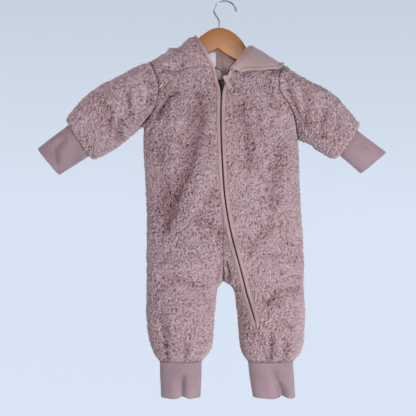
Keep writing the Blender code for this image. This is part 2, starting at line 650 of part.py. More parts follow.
def sleeve_rings(half, loop, count, first_gap=0.5):
    """Rings from the armhole loop to the wrist."""
    s = SIDES[half]
    table = np.array(SLEEVE[half], float)
    mids = (table[:, :2] + table[:, 2:4]) / 2
    t = np.concatenate([[0], np.cumsum(np.linalg.norm(np.diff(mids, axis=0), axis=1))])
    t /= t[-1]
    rows = [(a, *b) for a, b in zip(t, SLEEVE[half])]
    zs = loop[:, 2]
    top = int(np.argmax(zs))
    lo, hi = zs[0], zs[top]
    up = np.arccos(np.clip(1 - 2 * (zs - lo) / (hi - lo), -1, 1))
    theta = np.where(np.arange(len(loop)) <= top, up, 2 * math.pi - up)

    def ring(u):
        tx, tz, bx, bz, d = smooth_table(rows, np.array(u))
        m = np.array([(tx + bx) / 2, 0, (tz + bz) / 2])
        h = np.array([(tx - bx) / 2, 0, (tz - bz) / 2])
        p = POWER
        return (m - power(np.cos(theta), p)[:, None] * h
                - power(np.sin(theta), p)[:, None] * np.array([0, d, 0]))

    delta = loop - ring(0.0)
    rings = []
    for u in count:
        k = max(0.0, 1 - u / 0.30) ** 2
        r = ring(u) + delta * k
        if u == 0.0:
            r = r + np.array([s * first_gap, 0, 0])
        rings.append(r)
    return np.array(rings), theta


def square_to(ring, way):
    """Direction square to a flat ring, pointing outward along X."""
    axis = np.linalg.svd(ring - ring.mean(axis=0))[2][-1]
    return axis * way * np.sign(axis[0])


def wrist_rings(half, end):
    """Rings of a wrist cuff: the first lies against the sleeve's end, inside its outline."""
    axis = square_to(end, SIDES[half])
    centre = end.mean(axis=0)
    first = centre + 0.93 * (end - centre) + (PLY + 0.05) * axis
    rest = oval_tube(WRIST[half], len(end), [0.4, 1])
    return np.concatenate([first[None], rest])


def oval_tube(table, n, fractions):
    """Rings for a cuff. Rows: top x, top z, bottom x, bottom z, half depth."""
    k = np.linspace(0, 1, len(table))
    rows = [(a, *b) for a, b in zip(k, table)]
    theta = np.linspace(0, 2 * math.pi, n, endpoint=False)
    rings = []
    for f in fractions:
        tx, tz, bx, bz, d = smooth_table(rows, np.array(f))
        m = np.array([(tx + bx) / 2, 0, (tz + bz) / 2])
        h = np.array([(tx - bx) / 2, 0, (tz - bz) / 2])
        rings.append(m - power(np.cos(theta), POWER)[:, None] * h
                     - power(np.sin(theta), POWER)[:, None] * np.array([0, d, 0]))
    return np.array(rings)


LOWER = [-262, -303, -341, -392, -404, -412, -420, -431, -446, -455, -468, -512, -519, -545, -560,
         -573]
COLS = 7              # vertices across a panel
UPPER = 5             # rows between the neck seam and the armpit
HOOD_ROWS = (6, 8, 4, 3, 3, 2)
LAPEL_COLS = 5


def build():
    remove_all()
    cols = COLS
    grids, pieces = {}, []
    for half in SIDES:
        armpit = BODY[half][8 if half == "right" else 9][0]
        lower = [armpit] + ([-228] if half == "right" else []) + LOWER
        if half == "right":
            end_front = lambda z: np.where(z > GORE_TIP + 3, front_inner("right", z), 1e3)
        else:
            end_front = lambda z: front_inner("left", z)
        front = panel(half, "front", cols, UPPER, lower, end=end_front, neck=NECK[half])
        back = panel(half, "back", cols, UPPER, lower, neck=NAPE[half])
        grids[half] = (front, back)
        pieces.append(grid_piece("front_" + half, front, half, "front", PILE))
        pieces.append(grid_piece("back_" + half, back, half, "back", PILE))
    c = np.linspace(0, 1, 6)
    gore = np.array([body("left", "front", c, np.full(6, float(z)),
                          start=lambda z: cloth_edge(z, -1))
                     for z in LOWER[LOWER.index(GORE_TIP):]])
    pieces.append(grid_piece("front_gore", gore, "left", "front", PILE))

    hoods = {}
    for half in SIDES:
        verts, faces, scale, edge, inside, marks = hood_mesh(
            half, cols, HOOD_ROWS, LAPEL_COLS if half == "left" else 0)
        hoods[half] = (verts, edge, inside, marks)
        pieces.append(piece("hood_" + half, verts, faces, "pile", [
            ("hood_" + half, 0.0, PILE, "pile"),
            ("hood_lining_" + half, PILE + LINED, HOOD, "jersey")], scale))
        front, back = grids[half]
        n_up = UPPER + 1
        side = verts[: marks["turn"] * cols].reshape(marks["turn"], cols, 3)[:, 0]
        loop = armhole_loop(half, front[:n_up, 0], back[:n_up, 0], side[1:marks["ridge"] + 1])
        rings, _ = sleeve_rings(half, loop, [0.0, 0.08, 0.24, 0.5, 0.75, 0.92, 1.0])
        pieces.append(tube_piece("sleeve_" + half, rings, PILE, "pile", flip=half == "left"))
        pieces.append(tube_piece("wrist_cuff_" + half, wrist_rings(half, rings[-1]), CUFF, "jersey",
                                 flip=half == "left"))
        ankle = [(b, a, c2, a, d) for a, b, c2, d in ANKLE[half]]
        pieces.append(tube_piece("ankle_cuff_" + half, oval_tube(ankle, 18, [0, 0.4, 1]),
                                 CUFF, "jersey", flip=half == "left"))
    for p in pieces:
        n = len(p["verts"])
        if p["name"].startswith(("front", "back")):
            low = np.nonzero(p["verts"][:, 2] < LEG_END + 0.1)[0]
            p["end"] = (low, np.array([0.0, 0.0, 1.0]))
        elif p["name"].startswith("sleeve"):
            last = np.nonzero(p["ring"] == p["ring"].max())[0]
            p["end"] = (last, square_to(p["verts"][last], SIDES[p["name"][7:]]))
        elif p["name"].startswith("wrist"):
            first = np.nonzero(p["ring"] == 0)[0]
            p["end"] = (first, square_to(p["verts"][first], 1))
    share_normals(pieces)
    for p in pieces:                      # the narrow start of the lapel lies like the rest of it
        if p["name"] == "hood_left":
            first, m = sum(HOOD_ROWS) * cols, 3 + LAPEL_COLS
            p["normals"][first + 3:first + m] = p["normals"][first + m + 3:first + 2 * m]
    for p in pieces:
        for name, near, far, kind in p["layers"]:
            shell(name, p["verts"], p["faces"], near, far, kind, p["scale"], p["normals"])

    by_name = {p["name"]: p for p in pieces}
    bindings(by_name, hoods, cols)
    fastening()
    hanger()


def edge_of(p, rows, col):
    """Edge points of a panel with their normals and the way out of the cloth."""
    near = rows * p["cols"] + col
    inner = near + (1 if col == 0 else -1)
    return p["verts"][near], p["normals"][near], unit(p["verts"][near] - p["verts"][inner])


def bind(name, points, normals, out, low, high=0.6):
    """Binding strip along a cloth edge: its profile starts at the edge and lies outside it."""
    tangent = unit(np.gradient(points, axis=0))
    side = unit(np.cross(tangent, normals))
    side *= np.sign(np.einsum("ij,ij->", side, out))
    normal = unit(np.cross(side, tangent))
    normal *= np.sign(np.einsum("ij,ij->i", normal, normals))[:, None]
    profiles = [round_bar(BIND, lo, high) for lo in low]
    path = points + side * PLY
    sweep(name, path, side, normal, np.array(profiles), "jersey")


def bindings(by_name, hoods, cols):
    for half in SIDES:
        p = by_name["front_" + half]
        z = p["verts"][cols - 1::cols, 2]
        if half == "right":
            rows = np.nonzero(z > GORE_TIP + 3)[0]
            a = edge_of(p, rows, cols - 1)
            g = by_name["front_gore"]
            zg = g["verts"][::g["cols"], 2]
            b = edge_of(g, np.nonzero(zg >= ZIP_END)[0], 0)
            points, normals, out = (np.concatenate([u, v])[::-1] for u, v in zip(a, b))
        else:
            points, normals, out = (u[::-1] for u in edge_of(p, np.nonzero(z >= ZIP_END)[0], cols - 1))
        low = np.full(len(points), -PILE)
        verts, edge, inside, marks = hoods[half]
        h = by_name["hood_" + half]
        k = h["scale"][edge]
        he = (verts[edge], h["normals"][edge], unit(verts[edge] - verts[inside]))
        hl = -(HOOD * k + 0.2)
        if half == "right":
            points, normals, out = (np.concatenate([u, v[1:]]) for u, v in zip((points, normals, out), he))
            for q in (points, normals, out):      # it stops just short of the centre seam
                q[-1] = 0.2 * q[-2] + 0.8 * q[-1]
            bind("edge_binding_right", points, unit(normals), out, np.concatenate([low, hl[1:]]))
        else:
            points[-1] += 1.2 * unit(points[-2] - points[-1])
            bind("edge_binding_left", points, normals, out, low)
            bind("lapel_binding", *he, hl, high=-1.8)


def front_at(x, z):
    x, z = np.broadcast_arrays(np.asarray(x, float), np.asarray(z, float))
    return np.where(x < CENTRE, depth_at("right", "front", x, z), depth_at("left", "front", x, z))


def front_point(x, z, depth):
    """Point at a depth under the front's surface, measured square to it."""
    dx = (front_at(x + 1, z) - front_at(x - 1, z)) / 2
    dz = (front_at(x, z + 1) - front_at(x, z - 1)) / 2
    normal = unit(np.array([dx, -1.0, dz]))
    return np.array([x, front_at(x, z), z]) - depth * normal


def cells(name, along, up, filled, place, kind):
    """A block of cells, some left out, seen from the side; place maps (side, along, up)."""
    na, nu = len(along), len(up)
    verts = [place(s, a, u) for s in (-1, 1) for a in along for u in up]
    index = lambda s, i, j: (s * na + i) * nu + j
    full = lambda i, j: 0 <= i < na - 1 and 0 <= j < nu - 1 and filled[j][i]
    faces = []
    for i in range(na - 1):
        for j in range(nu - 1):
            if not full(i, j):
                continue
            ring = [(i, j), (i + 1, j), (i + 1, j + 1), (i, j + 1)]
            faces.append([index(0, *q) for q in ring])
            faces.append([index(1, *q) for q in ring[::-1]])
            for n, (di, dj) in enumerate(((0, -1), (1, 0), (0, 1), (-1, 0))):
                if not full(i + di, j + dj):
                    p, q = ring[n], ring[(n + 1) % 4]
                    faces.append([index(0, *q), index(0, *p), index(1, *p), index(1, *q)])
    used = sorted({v for f in faces for v in f})
    new = {v: k for k, v in enumerate(used)}
    verts = np.array([verts[v] for v in used], float)
    return solid(name, verts, outward(verts, [[new[v] for v in f] for f in faces]), kind)


def fastening():
    """Zip, slider, wire link and pull tab."""
    z = np.array([-128, -137, -148, -160, -180, -200, -228] + [v for v in LOWER if v >= ZIP_END], float)
    x, _ = zip_at(z)
    lo, hi = PILE + 1.4, PILE + 0.6
    tape = [(-7, lo), (-COIL, lo), (COIL, lo), (7, lo), (7, hi), (COIL, hi), (COIL, 2.2),
            (-COIL, 2.2), (-COIL, hi), (-7, hi)]
    rings = np.array([[front_point(a + w, b, depth) for w, depth in tape] for a, b in zip(x, z)])
    loft("zip", rings, "zip")

    rings = []
    for b, left, right, depth in GUARD:
        across = np.linspace(left, right, 5)
        rings.append([front_point(a, b, depth) for a in across]
                     + [front_point(a, b, depth + GUARD_THICK) for a in across[::-1]])
    loft("zip_guard", np.array(rings), "jersey")

    middle = -135.5
    x0 = float(zip_at(np.array(middle))[0])
    cells("zip_slider", [-4.5, -2.7, 2.7, 4.5], [-1.9, 0.8, 2.9, 4.0],
          [[1, 1, 1], [1, 0, 1], [1, 1, 1]],
          lambda s, a, u: (x0 + 1.5 * s, front_at(x0, middle + a) - u, middle + a), "dark metal")

    # link: a wire ring through the slider's bridge; x, z as seen from the front
    ring = [(-7.5, -133.1), (-7.7, -129), (-7.2, -124), (-5.0, -119.0), (-3.0, -115.8), (-1.2, -114.4),
            (0.6, -115.2), (1.5, -118), (1.8, -122.5), (1.0, -127), (-0.9, -131.0), (-2.4, -133.3),
            (-3.2, -134), (-6.7, -134)]
    y_axis = float(front_at(x0, -134.0)) - 1.85
    pts = np.array([(a, y_axis - LEAN * (b + 134.0), b) for a, b in ring])
    plane = unit(np.array([0.0, -1.0, -LEAN]))
    wire_ring("zip_link", pts, plane, 0.6, "dark metal")

    top, low = np.array([-1.1, 0, -124.6]), np.array([7.4, 0, -145.3])
    top[1] = y_axis - LEAN * (top[2] + 134.0) - 0.95
    low[1] = top[1] - 3.4
    path = np.array([top + (low - top) * t for t in (0, 0.04, 0.5, 0.96, 1)])
    tangent = unit(np.gradient(path, axis=0))
    side = unit(np.cross(tangent, np.array([0.0, -1.0, 0.0])))
    wide = np.array([6.2, 6.9, 7.0, 7.2, 6.4])
    profile = np.array([round_bar(w, 0.0, 2.2, 0.9) for w in wide])
    profile[..., 0] -= wide[:, None] / 2
    sweep("zip_pull_tab", path, side, unit(np.cross(side, tangent)) * [1, 1, 1], profile, "jersey")

    rings = []
    for a, b in ((-30.4, -100.9), (-30.4, -78.2), (-14.4, -78.2), (-14.4, -100.9)):
        y = float(depth_at("right", "back", a, b, False)
                  * rounding("right", a, min(b, ridge_z("right", a) - 20.0)))
        rings.append([(a, y - HOOD - LABEL_AIR - d, b) for d in (0.0, 0.6)])
    rings = np.array(rings).transpose(1, 0, 2)
    loft("neck_label", rings, "label")


def wire_ring(name, path, plane, radius, kind, sides=8):
    tangent = unit(np.roll(path, -1, 0) - np.roll(path, 1, 0))
    out = unit(np.cross(tangent, plane))
    t = np.linspace(0, 2 * math.pi, sides, endpoint=False)
    rings = path[:, None] + radius * (np.cos(t)[None, :, None] * out[:, None]
                                      + np.sin(t)[None, :, None] * plane)
    n = len(path)
    faces = []
    for r in range(n):
        for k in range(sides):
            a, b = r * sides + k, r * sides + (k + 1) % sides
            c, d = ((r + 1) % n) * sides + (k + 1) % sides, ((r + 1) % n) * sides + k
            faces.append((a, b, c, d))
    verts = rings.reshape(-1, 3)
    return solid(name, verts, outward(verts, faces), kind)


def hanger():
    table = np.array(HANGER, float)
    path = np.stack([table[:, 0], 0 * table[:, 0], (table[:, 1] + table[:, 2]) / 2], -1)
    h = (table[:, 1] - table[:, 2]) / 2
    w = np.full(len(h), HANGER_T / 2)
    w[[0, -1]] -= 2.0
    ch = np.minimum(2.2, h * 0.4)
    profile = np.stack([np.stack([w, h - ch], -1), np.stack([w - ch, h], -1),
                        np.stack([ch - w, h], -1), np.stack([-w, h - ch], -1),
                        np.stack([-w, ch - h], -1), np.stack([ch - w, -h], -1),
                        np.stack([w - ch, -h], -1), np.stack([w, ch - h], -1)], 1)
    n = len(path)
    sweep("hanger_bar", path, np.tile([0.0, 1.0, 0.0], (n, 1)), np.tile([0.0, 0.0, 1.0], (n, 1)),
          profile, "wood")

    stem = [(-10.2, -42.1), (-9.6, -38), (-9.2, -34), (-9.4, -31), (-10.6, -28), (-13.2, -24),
            (-15.8, -19.6)]
    turn = [math.radians(a) for a in np.linspace(177, 10, 22)]
    arc = [(HOOK_R * math.cos(a), -HOOK_TOP + HOOK_R * math.sin(a)) for a in turn]
    tip = [(arc[-1][0] + 0.35, arc[-1][1] - 1.2), (arc[-1][0] + 0.6, arc[-1][1] - 2.2)]
    path = np.array([(a, 0.0, b) for a, b in stem + arc + tip])
    radius = np.full(len(path), WIRE)
    radius[-3:] = (1.5, 1.55, 0.8)
    tangent = unit(np.gradient(path, axis=0))
    side = np.tile([0.0, 1.0, 0.0], (len(path), 1))
    normal = unit(np.cross(side, tangent))
    t = np.linspace(0, 2 * math.pi, 10, endpoint=False)
    profile = radius[:, None, None] * np.stack([np.cos(t), np.sin(t)], -1)[None]
    sweep("hanger_hook", path, side, normal, profile, "steel")


build()
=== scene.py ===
# %% [markdown]
# # A child's hooded onesie on a wooden hanger
#
# The garment is cut from curly pile cloth, with smooth jersey for its cuffs, its hood lining and
# the narrow binding along the zip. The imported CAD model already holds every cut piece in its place
# and at its real size. This lesson sews the same pieces again in fine meshes, one after another,
# and gives each its own finish. The first cell loads the CAD model as a fixed frame.

import math
from types import SimpleNamespace

import bpy
import numpy as np
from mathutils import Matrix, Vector


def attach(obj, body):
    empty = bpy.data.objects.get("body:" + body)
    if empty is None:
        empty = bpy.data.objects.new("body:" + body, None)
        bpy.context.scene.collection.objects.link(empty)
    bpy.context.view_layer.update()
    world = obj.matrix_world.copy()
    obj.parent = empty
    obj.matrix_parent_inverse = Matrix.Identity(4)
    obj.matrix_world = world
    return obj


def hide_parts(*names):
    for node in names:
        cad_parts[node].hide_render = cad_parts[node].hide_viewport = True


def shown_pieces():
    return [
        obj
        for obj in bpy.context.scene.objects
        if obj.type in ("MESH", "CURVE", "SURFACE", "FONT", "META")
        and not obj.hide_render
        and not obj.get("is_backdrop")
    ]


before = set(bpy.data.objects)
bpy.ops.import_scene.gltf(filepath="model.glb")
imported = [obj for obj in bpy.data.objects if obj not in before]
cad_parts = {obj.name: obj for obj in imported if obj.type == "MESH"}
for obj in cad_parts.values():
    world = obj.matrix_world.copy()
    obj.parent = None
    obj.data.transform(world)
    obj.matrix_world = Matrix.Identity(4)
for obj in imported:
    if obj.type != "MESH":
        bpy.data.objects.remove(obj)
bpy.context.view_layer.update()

# %% [markdown]
# ## The camera
#
# The picture was taken straight on, level with the middle of the garment, from about an arm and a
# half away. One millimetre of chest then covers 0.64 of a pixel. A level camera keeps the hanger's
# arms and the hems true, and a plain 36 mm wide sensor lets the lens be worked out from that scale.

# %% camera
CAMERA_AT = (-0.027, -1.25, -0.330)
SENSOR, LENS = 36.0, 67.6                # mm
CHEST_Y = -0.035                         # the front of the cloth

camera = bpy.data.objects.new("camera", bpy.data.cameras.new("camera"))
camera.data.sensor_width = SENSOR
camera.data.lens = LENS
camera.location = CAMERA_AT
camera.rotation_euler = (math.radians(90), 0, 0)
bpy.context.scene.collection.objects.link(camera)
bpy.context.scene.camera = camera
# with this view the cloth's colours come out as they are mixed
bpy.context.scene.view_settings.view_transform = "Standard"
print("camera sees", round(SENSOR / LENS * (CHEST_Y - CAMERA_AT[1]), 3), "m across the chest")

# %% [markdown]
# ## Small tools for finishes
#
# Every finish below is a small net of shader nodes: noise or waves at the size of the real detail,
# a colour ramp, and a bump. These few helpers keep each net to a handful of readable lines.

# %% node helpers
def node(tree, kind, place=(), **values):
    """Add a shader node; values are its properties or its inputs' numbers."""
    made = tree.nodes.new("ShaderNode" + kind)
    for key, value in values.items():
        if hasattr(made, key):
            setattr(made, key, value)
        else:
            made.inputs[key.replace("_", " ")].default_value = value
    for socket, source in place:
        tree.links.new(source, made.inputs[socket])
    return made


def ramp_node(tree, source, stops):
    """A colour ramp over a socket; stops are places and colours."""
    made = node(tree, "ValToRGB", [("Fac", source)])
    line = made.color_ramp
    while len(line.elements) < len(stops):
        line.elements.new(0.5)
    for element, (at, color) in zip(line.elements, stops):
        element.position = at
        element.color = (*color, 1)
    return made.outputs["Color"]


def noise_at(tree, where, size, detail=2.0, rough=0.5, twist=0.0):
    """Noise with lumps of the given size in metres."""
    made = node(tree, "TexNoise", [("Vector", where)], Scale=1 / size, Detail=detail,
                Roughness=rough, Distortion=twist)
    return made.outputs["Fac"]


def mix_color(tree, way, share, a, b):
    """Blend two colours; share is a socket or a number."""
    made = node(tree, "Mix", data_type="RGBA", blend_type=way)
    for socket, value in ((made.inputs["Factor"], share), (made.inputs[6], a), (made.inputs[7], b)):
        if isinstance(value, bpy.types.NodeSocket):
            tree.links.new(value, socket)
        else:
            socket.default_value = value
    return made.outputs[2]


def sums(tree, how, *values):
    """One step of arithmetic on sockets and numbers."""
    made = node(tree, "Math", operation=how)
    for k, value in enumerate(values):
        if isinstance(value, bpy.types.NodeSocket):
            tree.links.new(value, made.inputs[k])
        else:
            made.inputs[k].default_value = value
    return made.outputs[0]


def bump(tree, height, distance, strength=1.0, under=None):
    """Relief from a height; under is a coarser or finer relief below it."""
    made = node(tree, "Bump", [("Height", height)], Strength=strength, Distance=distance)
    if under is not None:
        tree.links.new(under, made.inputs["Normal"])
    return made.outputs["Normal"]


def places(tree):
    """Where a point lies in the object's own space: the vector and its x, y and z."""
    where = node(tree, "TexCoord").outputs["Object"]
    return where, node(tree, "SeparateXYZ", [("Vector", where)]).outputs


print("helpers ready: node, ramp_node, noise_at, mix_color, sums, bump, places")

# %% [markdown]
# ## Backdrop and light
#
# A pale wall, lit by a window, stands behind the real garment. A round bowl with a flat floor and
# a soft cove does the same from every side: one profile line is turned round the middle. It glows
# a little, as a light tent does, so that no side of the cloth falls black.
#
# The window is one large soft light on the left. Three more fill the lower right, soften the front
# and draw the rear edges. A narrow spot reaches into the open neck.

# %% backdrop
def plain_material(name, color, roughness, metallic=0.0):
    """A material with its tree and its shader, to be refined."""
    made = bpy.data.materials.new(name)
    made.use_nodes = True
    shader = made.node_tree.nodes["Principled BSDF"]
    shader.inputs["Base Color"].default_value = (*color, 1)
    shader.inputs["Roughness"].default_value = roughness
    shader.inputs["Metallic"].default_value = metallic
    return made, made.node_tree, shader


def mesh_object(name, verts, faces, materials):
    """A smooth mesh in the scene from points in metres."""
    mesh = bpy.data.meshes.new(name)
    mesh.from_pydata([tuple(v) for v in np.asarray(verts, float).tolist()], [],
                     [tuple(f) for f in (faces.tolist() if hasattr(faces, "tolist") else faces)])
    mesh.update()
    for m in materials:
        mesh.materials.append(m)
    mesh.polygons.foreach_set("use_smooth", [True] * len(mesh.polygons))
    made = bpy.data.objects.new(name, mesh)
    bpy.context.scene.collection.objects.link(made)
    return made


def bowl_profile(radius=4.0, floor=-1.7, cove=1.2, top=3.6):
    """Radius and height from the middle of the floor, round the cove, up the wall and over."""
    line = [(0.001, floor), (radius - cove, floor)]
    line += [(radius - cove + cove * math.sin(a), floor + cove - cove * math.cos(a))
             for a in np.linspace(0.1, math.pi / 2, 12)]
    line += [(radius, 1.2)]
    line += [(radius * math.cos(a), 1.2 + (top - 1.2) * math.sin(a))
             for a in np.linspace(0.1, math.pi / 2 - 0.001, 14)]
    return line


def turned(profile, sides):
    """A profile turned round the z axis."""
    verts = [(r * math.cos(2 * math.pi * k / sides), r * math.sin(2 * math.pi * k / sides), z)
             for r, z in profile for k in range(sides)]
    faces = []
    for r in range(len(profile) - 1):
        for k in range(sides):
            a, b = r * sides + k, r * sides + (k + 1) % sides
            faces.append((a, a + sides, b + sides, b))
    return verts, faces


wall_paint, tree, shader = plain_material("wall_paint", (0.50, 0.53, 0.56), 0.95)
_, (_, far, high) = places(tree)
glow = ramp_node(tree, sums(tree, "MULTIPLY_ADD", far, 0.2, 0.4),
                 [(0.0, (0.09, 0.095, 0.105)), (1.0, (0.365, 0.395, 0.455))])
shade = ramp_node(tree, sums(tree, "MULTIPLY_ADD", high, 0.6, 0.2),
                  [(0.0, (1, 1, 1)), (1.0, (0.68, 0.66, 0.62))])
glow = mix_color(tree, "MULTIPLY", 1.0, glow, shade)
tree.links.new(glow, shader.inputs["Emission Color"])
shader.inputs["Emission Strength"].default_value = 1.0
backdrop = mesh_object("backdrop", *turned(bowl_profile(), 96), [wall_paint])
backdrop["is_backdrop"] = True
print("backdrop faces:", len(backdrop.data.polygons))

# %% lights
def aimed(lamp, place, aim):
    """Put a lamp at a place and turn it to a point."""
    made = bpy.data.objects.new(lamp.name, lamp)
    made.location = place
    made.rotation_mode = "QUATERNION"
    made.rotation_quaternion = (Vector(aim) - Vector(place)).to_track_quat("-Z", "Y")
    bpy.context.scene.collection.objects.link(made)


def soft_light(name, place, aim, size, power, color):
    lamp = bpy.data.lights.new(name, "AREA")
    lamp.shape, lamp.size, lamp.energy, lamp.color = "DISK", size, power, color
    aimed(lamp, place, aim)


def spot_light(name, place, aim, degrees, power):
    lamp = bpy.data.lights.new(name, "SPOT")
    lamp.energy, lamp.spot_size = power, math.radians(degrees)
    lamp.spot_blend, lamp.shadow_soft_size = 1.0, 0.01
    aimed(lamp, place, aim)


MIDDLE = (-0.02, 0.0, -0.33)
soft_light("window", (-1.35, -1.0, 0.75), MIDDLE, 0.7, 14, (1.0, 0.96, 0.93))
soft_light("fill", (0.95, -1.15, -1.0), (0.06, 0, -0.48), 0.7, 27, (0.94, 0.99, 1.0))
soft_light("front", (0.15, -2.4, 0.2), MIDDLE, 1.0, 11, (0.98, 0.98, 1.0))
soft_light("rear", (-0.9, 2.1, 1.3), MIDDLE, 1.5, 16, (1.0, 0.99, 0.98))
spot_light("neck", (0.0, -0.95, -0.32), (-0.002, 0.02, -0.088), 3.6, 28)

# %% [markdown]
# ## The measurements
#
# The pattern is a set of short tables in millimetres, the same ones that the CAD model was cut
# from. Sides are the wearer's. A table lists heights and widths at a few places, and a smooth
# curve runs through them, so the fine meshes below follow the CAD pieces at any resolution.

# %% driving sizes
MM = 0.001
PILE, LINING, CUFF = 4.0, 1.2, 2.2     # thickness of pile cloth, lining and doubled cuff
PLY, HALF = 0.3, 0.15                  # air at a seam
LINED = 0.6                            # air between hood and lining
HOOD = PILE + LINED + LINING
CENTRE = -3.0                          # centre-front and centre-back seams
POWER = 0.82                           # how boxy a cross section is
RIDGE_R = 26.0                         # rounding over the hanger
BIND = 4.2                             # width of the edge binding
ZIP_END, GORE_TIP, LEG_END = -513.0, -341.0, -573.0
HANGER_T = 12.0                        # thickness of the wood
COIL = 0.7                             # half width of the zip's coil
LEAN = 0.27                            # how far the zip's link leans out for each mm down
FOLD = 0.9                             # radius of the hood's turned edges
AIR = 2.0                              # air between the back and the hood's bag
CRUSH = 0.6                            # share of its thickness left to cloth over the hanger
WIRE, HOOK_R, HOOK_TOP = 1.3, 17.8, 16.5    # the hook: wire radius, bend, depth of its middle
SIDES = {"right": -1.0, "left": 1.0}

# %% body tables
# z, side seam x, inner edge x, wrap front, wrap back, y middle, front, back, armhole y
BODY = {
    "right": [
        (-40, -118, -3, 0, 0, 0, 24, 21, 20), (-97, -118, -3, 0, 0, 0, 26, 22, 20),
        (-110, -113, -3, 0, 0, 0, 27, 23, 19), (-125, -107, -3, 0, 0, 0, 29, 25, 21),
        (-140, -104, -3, 0, 0, 0, 31, 27, 22), (-155, -105.5, -3, 0, 0, 0, 33, 28, 22),
        (-170, -110, -3, 0, 0, 0, 34, 29, 20), (-185, -120, -3, 0, 0, 0, 35, 30, 13),
        (-197, -129, -3, 0, 0, 0, 35, 30, 0), (-225, -129.5, -3, 0, 0, 0, 36, 31, 0),
        (-250, -128.8, -3, 0, 0, 0, 37, 32, 0), (-295, -126.7, -3, 0, 0, 0, 38, 33, 0),
        (-343, -124.8, -3, 0, 0, 0, 38, 34, 0), (-380, -124.8, -3, 0, 0, 0, 38, 35, 0),
        (-400, -124.8, -3, 0, 0, 0, 37, 36, 0), (-408, -124.8, -3, 0.40, 0.05, 0, 36.5, 36, 0),
        (-414, -124.8, -3, 0.75, 0.15, 1, 36, 36, 0), (-420, -124.8, -3, 0.92, 0.30, 1, 36, 36, 0),
        (-430, -124.8, -3, 0.985, 0.68, 2, 35, 36, 0), (-446, -124.8, -3, 1, 1, 3, 34, 36, 0),
        (-453, -124.8, -8, 1, 1, 3, 34, 36, 0), (-462, -124.8, -12.5, 1, 1, 3, 33, 35, 0),
        (-497, -124.6, -16.3, 1, 1, 2, 33, 33, 0), (-526, -122.9, -18.5, 1, 1, 1, 32, 31, 0),
        (-545, -119.5, -20, 1, 1, 0, 31, 30, 0), (-558, -114.5, -24, 1, 1, 0, 30, 29, 0),
        (-567, -109.5, -30, 1, 1, 0, 27, 27, 0), (-573, -106, -35, 1, 1, 0, 24.5, 24.5, 0),
    ],
    "left": [
        (-40, 96, -3, 0, 0, 0, 24, 21, 20), (-103, 95, -3, 0, 0, 0, 26, 22, 20),
        (-112, 88, -3, 0, 0, 0, 27, 23, 20), (-125, 84.5, -3, 0, 0, 0, 29, 25, 22),
        (-140, 85, -3, 0, 0, 0, 31, 27, 23), (-152, 90, -3, 0, 0, 0, 33, 28, 23),
        (-166, 100, -3, 0, 0, 0, 34, 29, 21), (-182, 108, -3, 0, 0, 0, 35, 30, 18),
        (-203, 113, -3, 0, 0, 0, 35.5, 30.5, 10), (-222, 115.2, -3, 0, 0, 0, 36, 31, 0),
        (-250, 118, -3, 0, 0, 0, 37, 32, 0), (-295, 119.4, -3, 0, 0, 0, 38, 33, 0),
        (-343, 122, -3, 0, 0, 0, 38, 34, 0), (-380, 124.3, -3, 0, 0, 0, 38, 35, 0),
        (-400, 124.8, -3, 0, 0, 0, 37, 36, 0), (-408, 125, -3, 0.40, 0.05, 0, 36.5, 36, 0),
        (-414, 125.2, -3, 0.75, 0.15, 1, 36, 36, 0), (-420, 125.4, -3, 0.92, 0.30, 1, 36, 36, 0),
        (-430, 125.6, -3, 0.985, 0.68, 2, 35, 36, 0), (-446, 126, -3, 1, 1, 3, 34, 36, 0),
        (-453, 126, 8, 1, 1, 3, 34, 36, 0), (-462, 126.2, 15.5, 1, 1, 3, 33, 35, 0),
        (-497, 127, 19.7, 1, 1, 2, 33, 33, 0), (-526, 126.6, 21.8, 1, 1, 1, 32, 31, 0),
        (-545, 125, 23, 1, 1, 0, 31, 30, 0), (-558, 121.5, 26, 1, 1, 0, 30, 29, 0),
        (-567, 115.5, 31, 1, 1, 0, 27, 27, 0), (-573, 110.5, 35, 1, 1, 0, 24.5, 24.5, 0),
    ],
}
ARMPIT = {"right": -197.0, "left": -222.0}

# %% tables of the zip, the neck and the hood
# z, middle of the zip x, half the open gap between its two bindings
ZIP = [
    (-40, -3.6, 3.0), (-118, -3.9, 3.0), (-131, -4.4, 3.0), (-142, -5.4, 2.6), (-155, -6.2, 1.2),
    (-192, -7.1, 1.1), (-230, -6.2, 1.1), (-268, -4.3, 1.1), (-296, -2.5, 1.1), (-324, 0.5, 1.1),
    (-356, 6.1, 1.1), (-381, 11.7, 1.1), (-407, 18.7, 1.1), (-441, 27.7, 1.1), (-464, 33.4, 1.1),
    (-485, 40.0, 1.1), (-505, 45.6, 1.1), (-513, 47.4, 1.0), (-548, 58.8, 1.0), (-573, 66.5, 1.0),
]
# share of the way from armhole to neck edge, height of the neck seam
NECK = {
    "right": [(0, -103), (0.08, -108.5), (0.22, -114.5), (0.36, -116.5), (0.52, -113),
              (0.70, -109.5), (1, -108.5)],
    "left": [(0, -112), (0.08, -113), (0.25, -112.5), (0.6, -113), (1, -116)],
}
NAPE = {
    "right": [(0, -117), (0.1, -114), (0.3, -109), (1, -108)],
    "left": [(0, -123), (0.1, -118.5), (0.35, -111), (1, -108)],
}
# z, x of the front's inner edge above the zip
NECK_EDGE = {"right": [(-142, -13.0), (-132, -16.0), (-120, -18.6), (-108, -21.6), (-97, -27)],
             "left": [(-142, 1.8), (-134, 3.2), (-126, 6.5), (-116, 11.5), (-105, 17.0)]}
# ridge over the hanger: x at the neck end, z there, slope, x at the armhole
RIDGE = {"right": (-50.0, -56.0, 0.585, -117.7), "left": (42.0, -80.1, 0.500, 94.7)}
# hood hanging behind: share from armhole to centre, drop below the nape seam, radius of its turn
BAG = [(0, 10, 4.0), (0.08, 20, 4.8), (0.18, 42, 6.4), (0.32, 68, 8.5), (0.5, 90, 10.5),
       (0.7, 104, 12.5), (1, 109, 14.0)]
